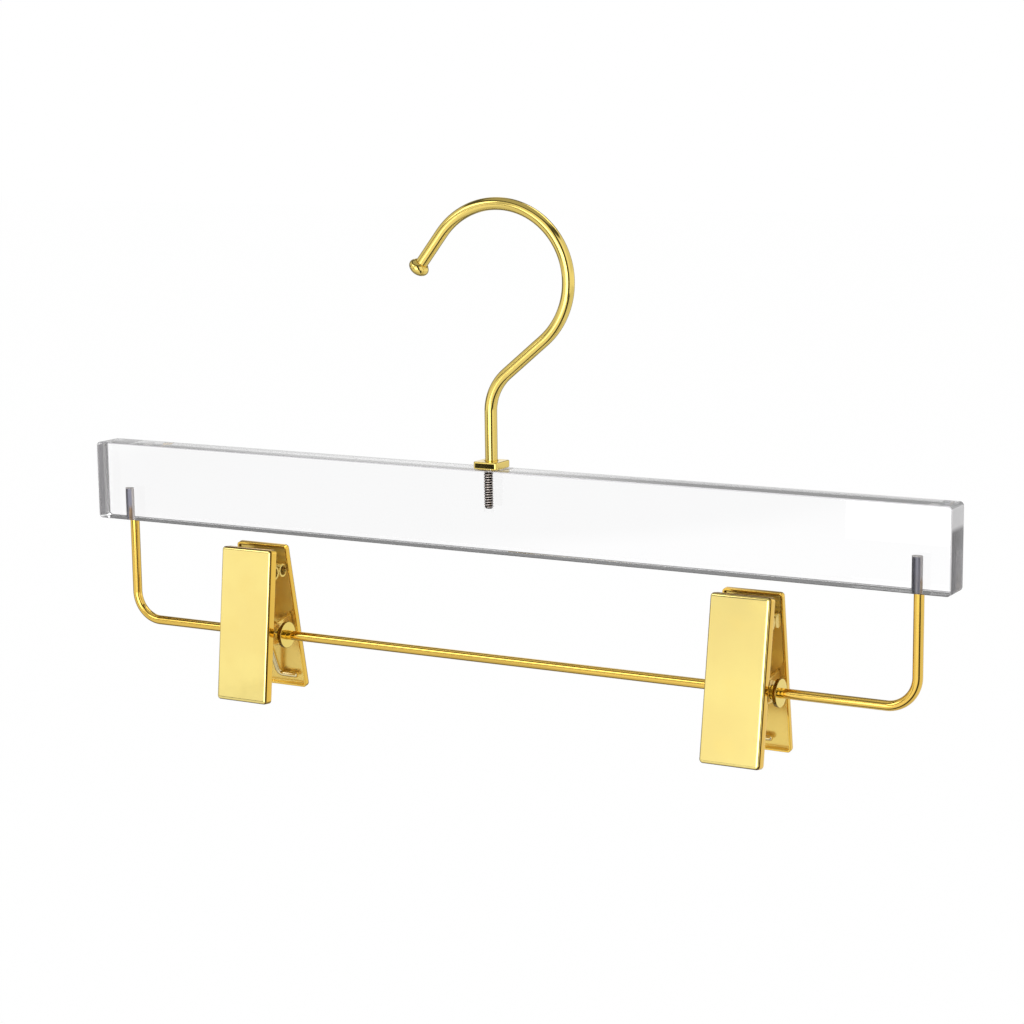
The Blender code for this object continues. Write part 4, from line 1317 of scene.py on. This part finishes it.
class HangerGrips(Operator):
    """Makes the clips' rolled grip tubes and finishes their brackets"""

    bl_idname = "hanger.grips"
    bl_label = "Grip tubes and brackets"

    def execute(self, context):
        for side, part in CLIP_HALVES:
            body = f"{side}_{part}"
            for node, mesh, width in (
                (body + "_grip_tube", grip_mesh(side, part), 0.00012),
                (body + "_bracket", bracket_mesh(body + "_bracket"), 0.00015),
            ):
                soften(piece(node, mesh, ["inner_gold"], body), width)
        return {"FINISHED"}


def soften(obj, width):
    """Rounds a piece's sharp edges."""
    edge = obj.modifiers.new("soft_edge", "BEVEL")
    edge.width = width
    edge.segments = 2
    edge.limit_method = "ANGLE"
    edge.angle_limit = math.radians(40.0)
    edge.harden_normals = True


class HangerPivots(Operator):
    """Makes the clips' hollow rivets and washers"""

    bl_idname = "hanger.pivots"
    bl_label = "Rivets and washers"

    def execute(self, context):
        for side in CLIP_SIDES:
            body = side + "_pivot"
            piece(body + "_rivet", rivet_mesh(side), DISC_FINISHES, body)
            piece(body + "_washer", washer_mesh(side), DISC_FINISHES, body)
        return {"FINISHED"}


class HangerSprings(Operator):
    """Makes the clips' torsion springs"""

    bl_idname = "hanger.springs"
    bl_label = "Torsion springs"

    def execute(self, context):
        for side in CLIP_SIDES:
            spring = piece(side + "_spring", spring_mesh(side), ["spring_gold"], None)
            middle, reach = clip_frame(side), Vector((0, SPRING_BLEND, 0))
            start, end = middle @ -reach, middle @ reach
            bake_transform(spring)
        return {"FINISHED"}


OPERATORS = (
    HangerStage,
    HangerHook,
    HangerCollar,
    HangerBar,
    HangerTrapeze,
    HangerPlates,
    HangerGrips,
    HangerPivots,
    HangerSprings,
)


class HangerPanel(Panel):
    """Sizes, finishes and pieces of the hanger"""

    bl_idname = "VIEW3D_PT_hanger"
    bl_label = "Skirt hanger"
    bl_space_type = "VIEW_3D"
    bl_region_type = "UI"
    bl_category = "Hanger"

    def draw(self, context):
        for made in OPERATORS:
            self.layout.operator(made.bl_idname)
        for name, group in GROUPS.items():
            box = self.layout.box()
            box.label(text=group.__doc__)
            for key in group.__annotations__:
                box.prop(getattr(context.scene, "hanger_" + name), key)


def register():
    """Adds the classes and the scene's property groups."""
    for made in (*GROUPS.values(), *OPERATORS, HangerPanel):
        bpy.utils.register_class(made)
    for name, group in GROUPS.items():
        setattr(bpy.types.Scene, "hanger_" + name, PointerProperty(type=group))


def unregister():
    """Removes them again."""
    for name in GROUPS:
        delattr(bpy.types.Scene, "hanger_" + name)
    for made in (HangerPanel, *reversed(OPERATORS), *reversed(list(GROUPS.values()))):
        bpy.utils.unregister_class(made)


def plain(box):
    """A box's corners as plain lists of numbers."""
    return [[float(value) for value in corner] for corner in box]


def main():
    """Registers the classes and makes every piece."""
    register()
    for made in OPERATORS:
        group, name = made.bl_idname.split(".")
        if getattr(getattr(bpy.ops, group), name)() != {"FINISHED"}:
            raise RuntimeError(f"{made.bl_label} didn't finish")


if __name__ == "__main__":
    main()
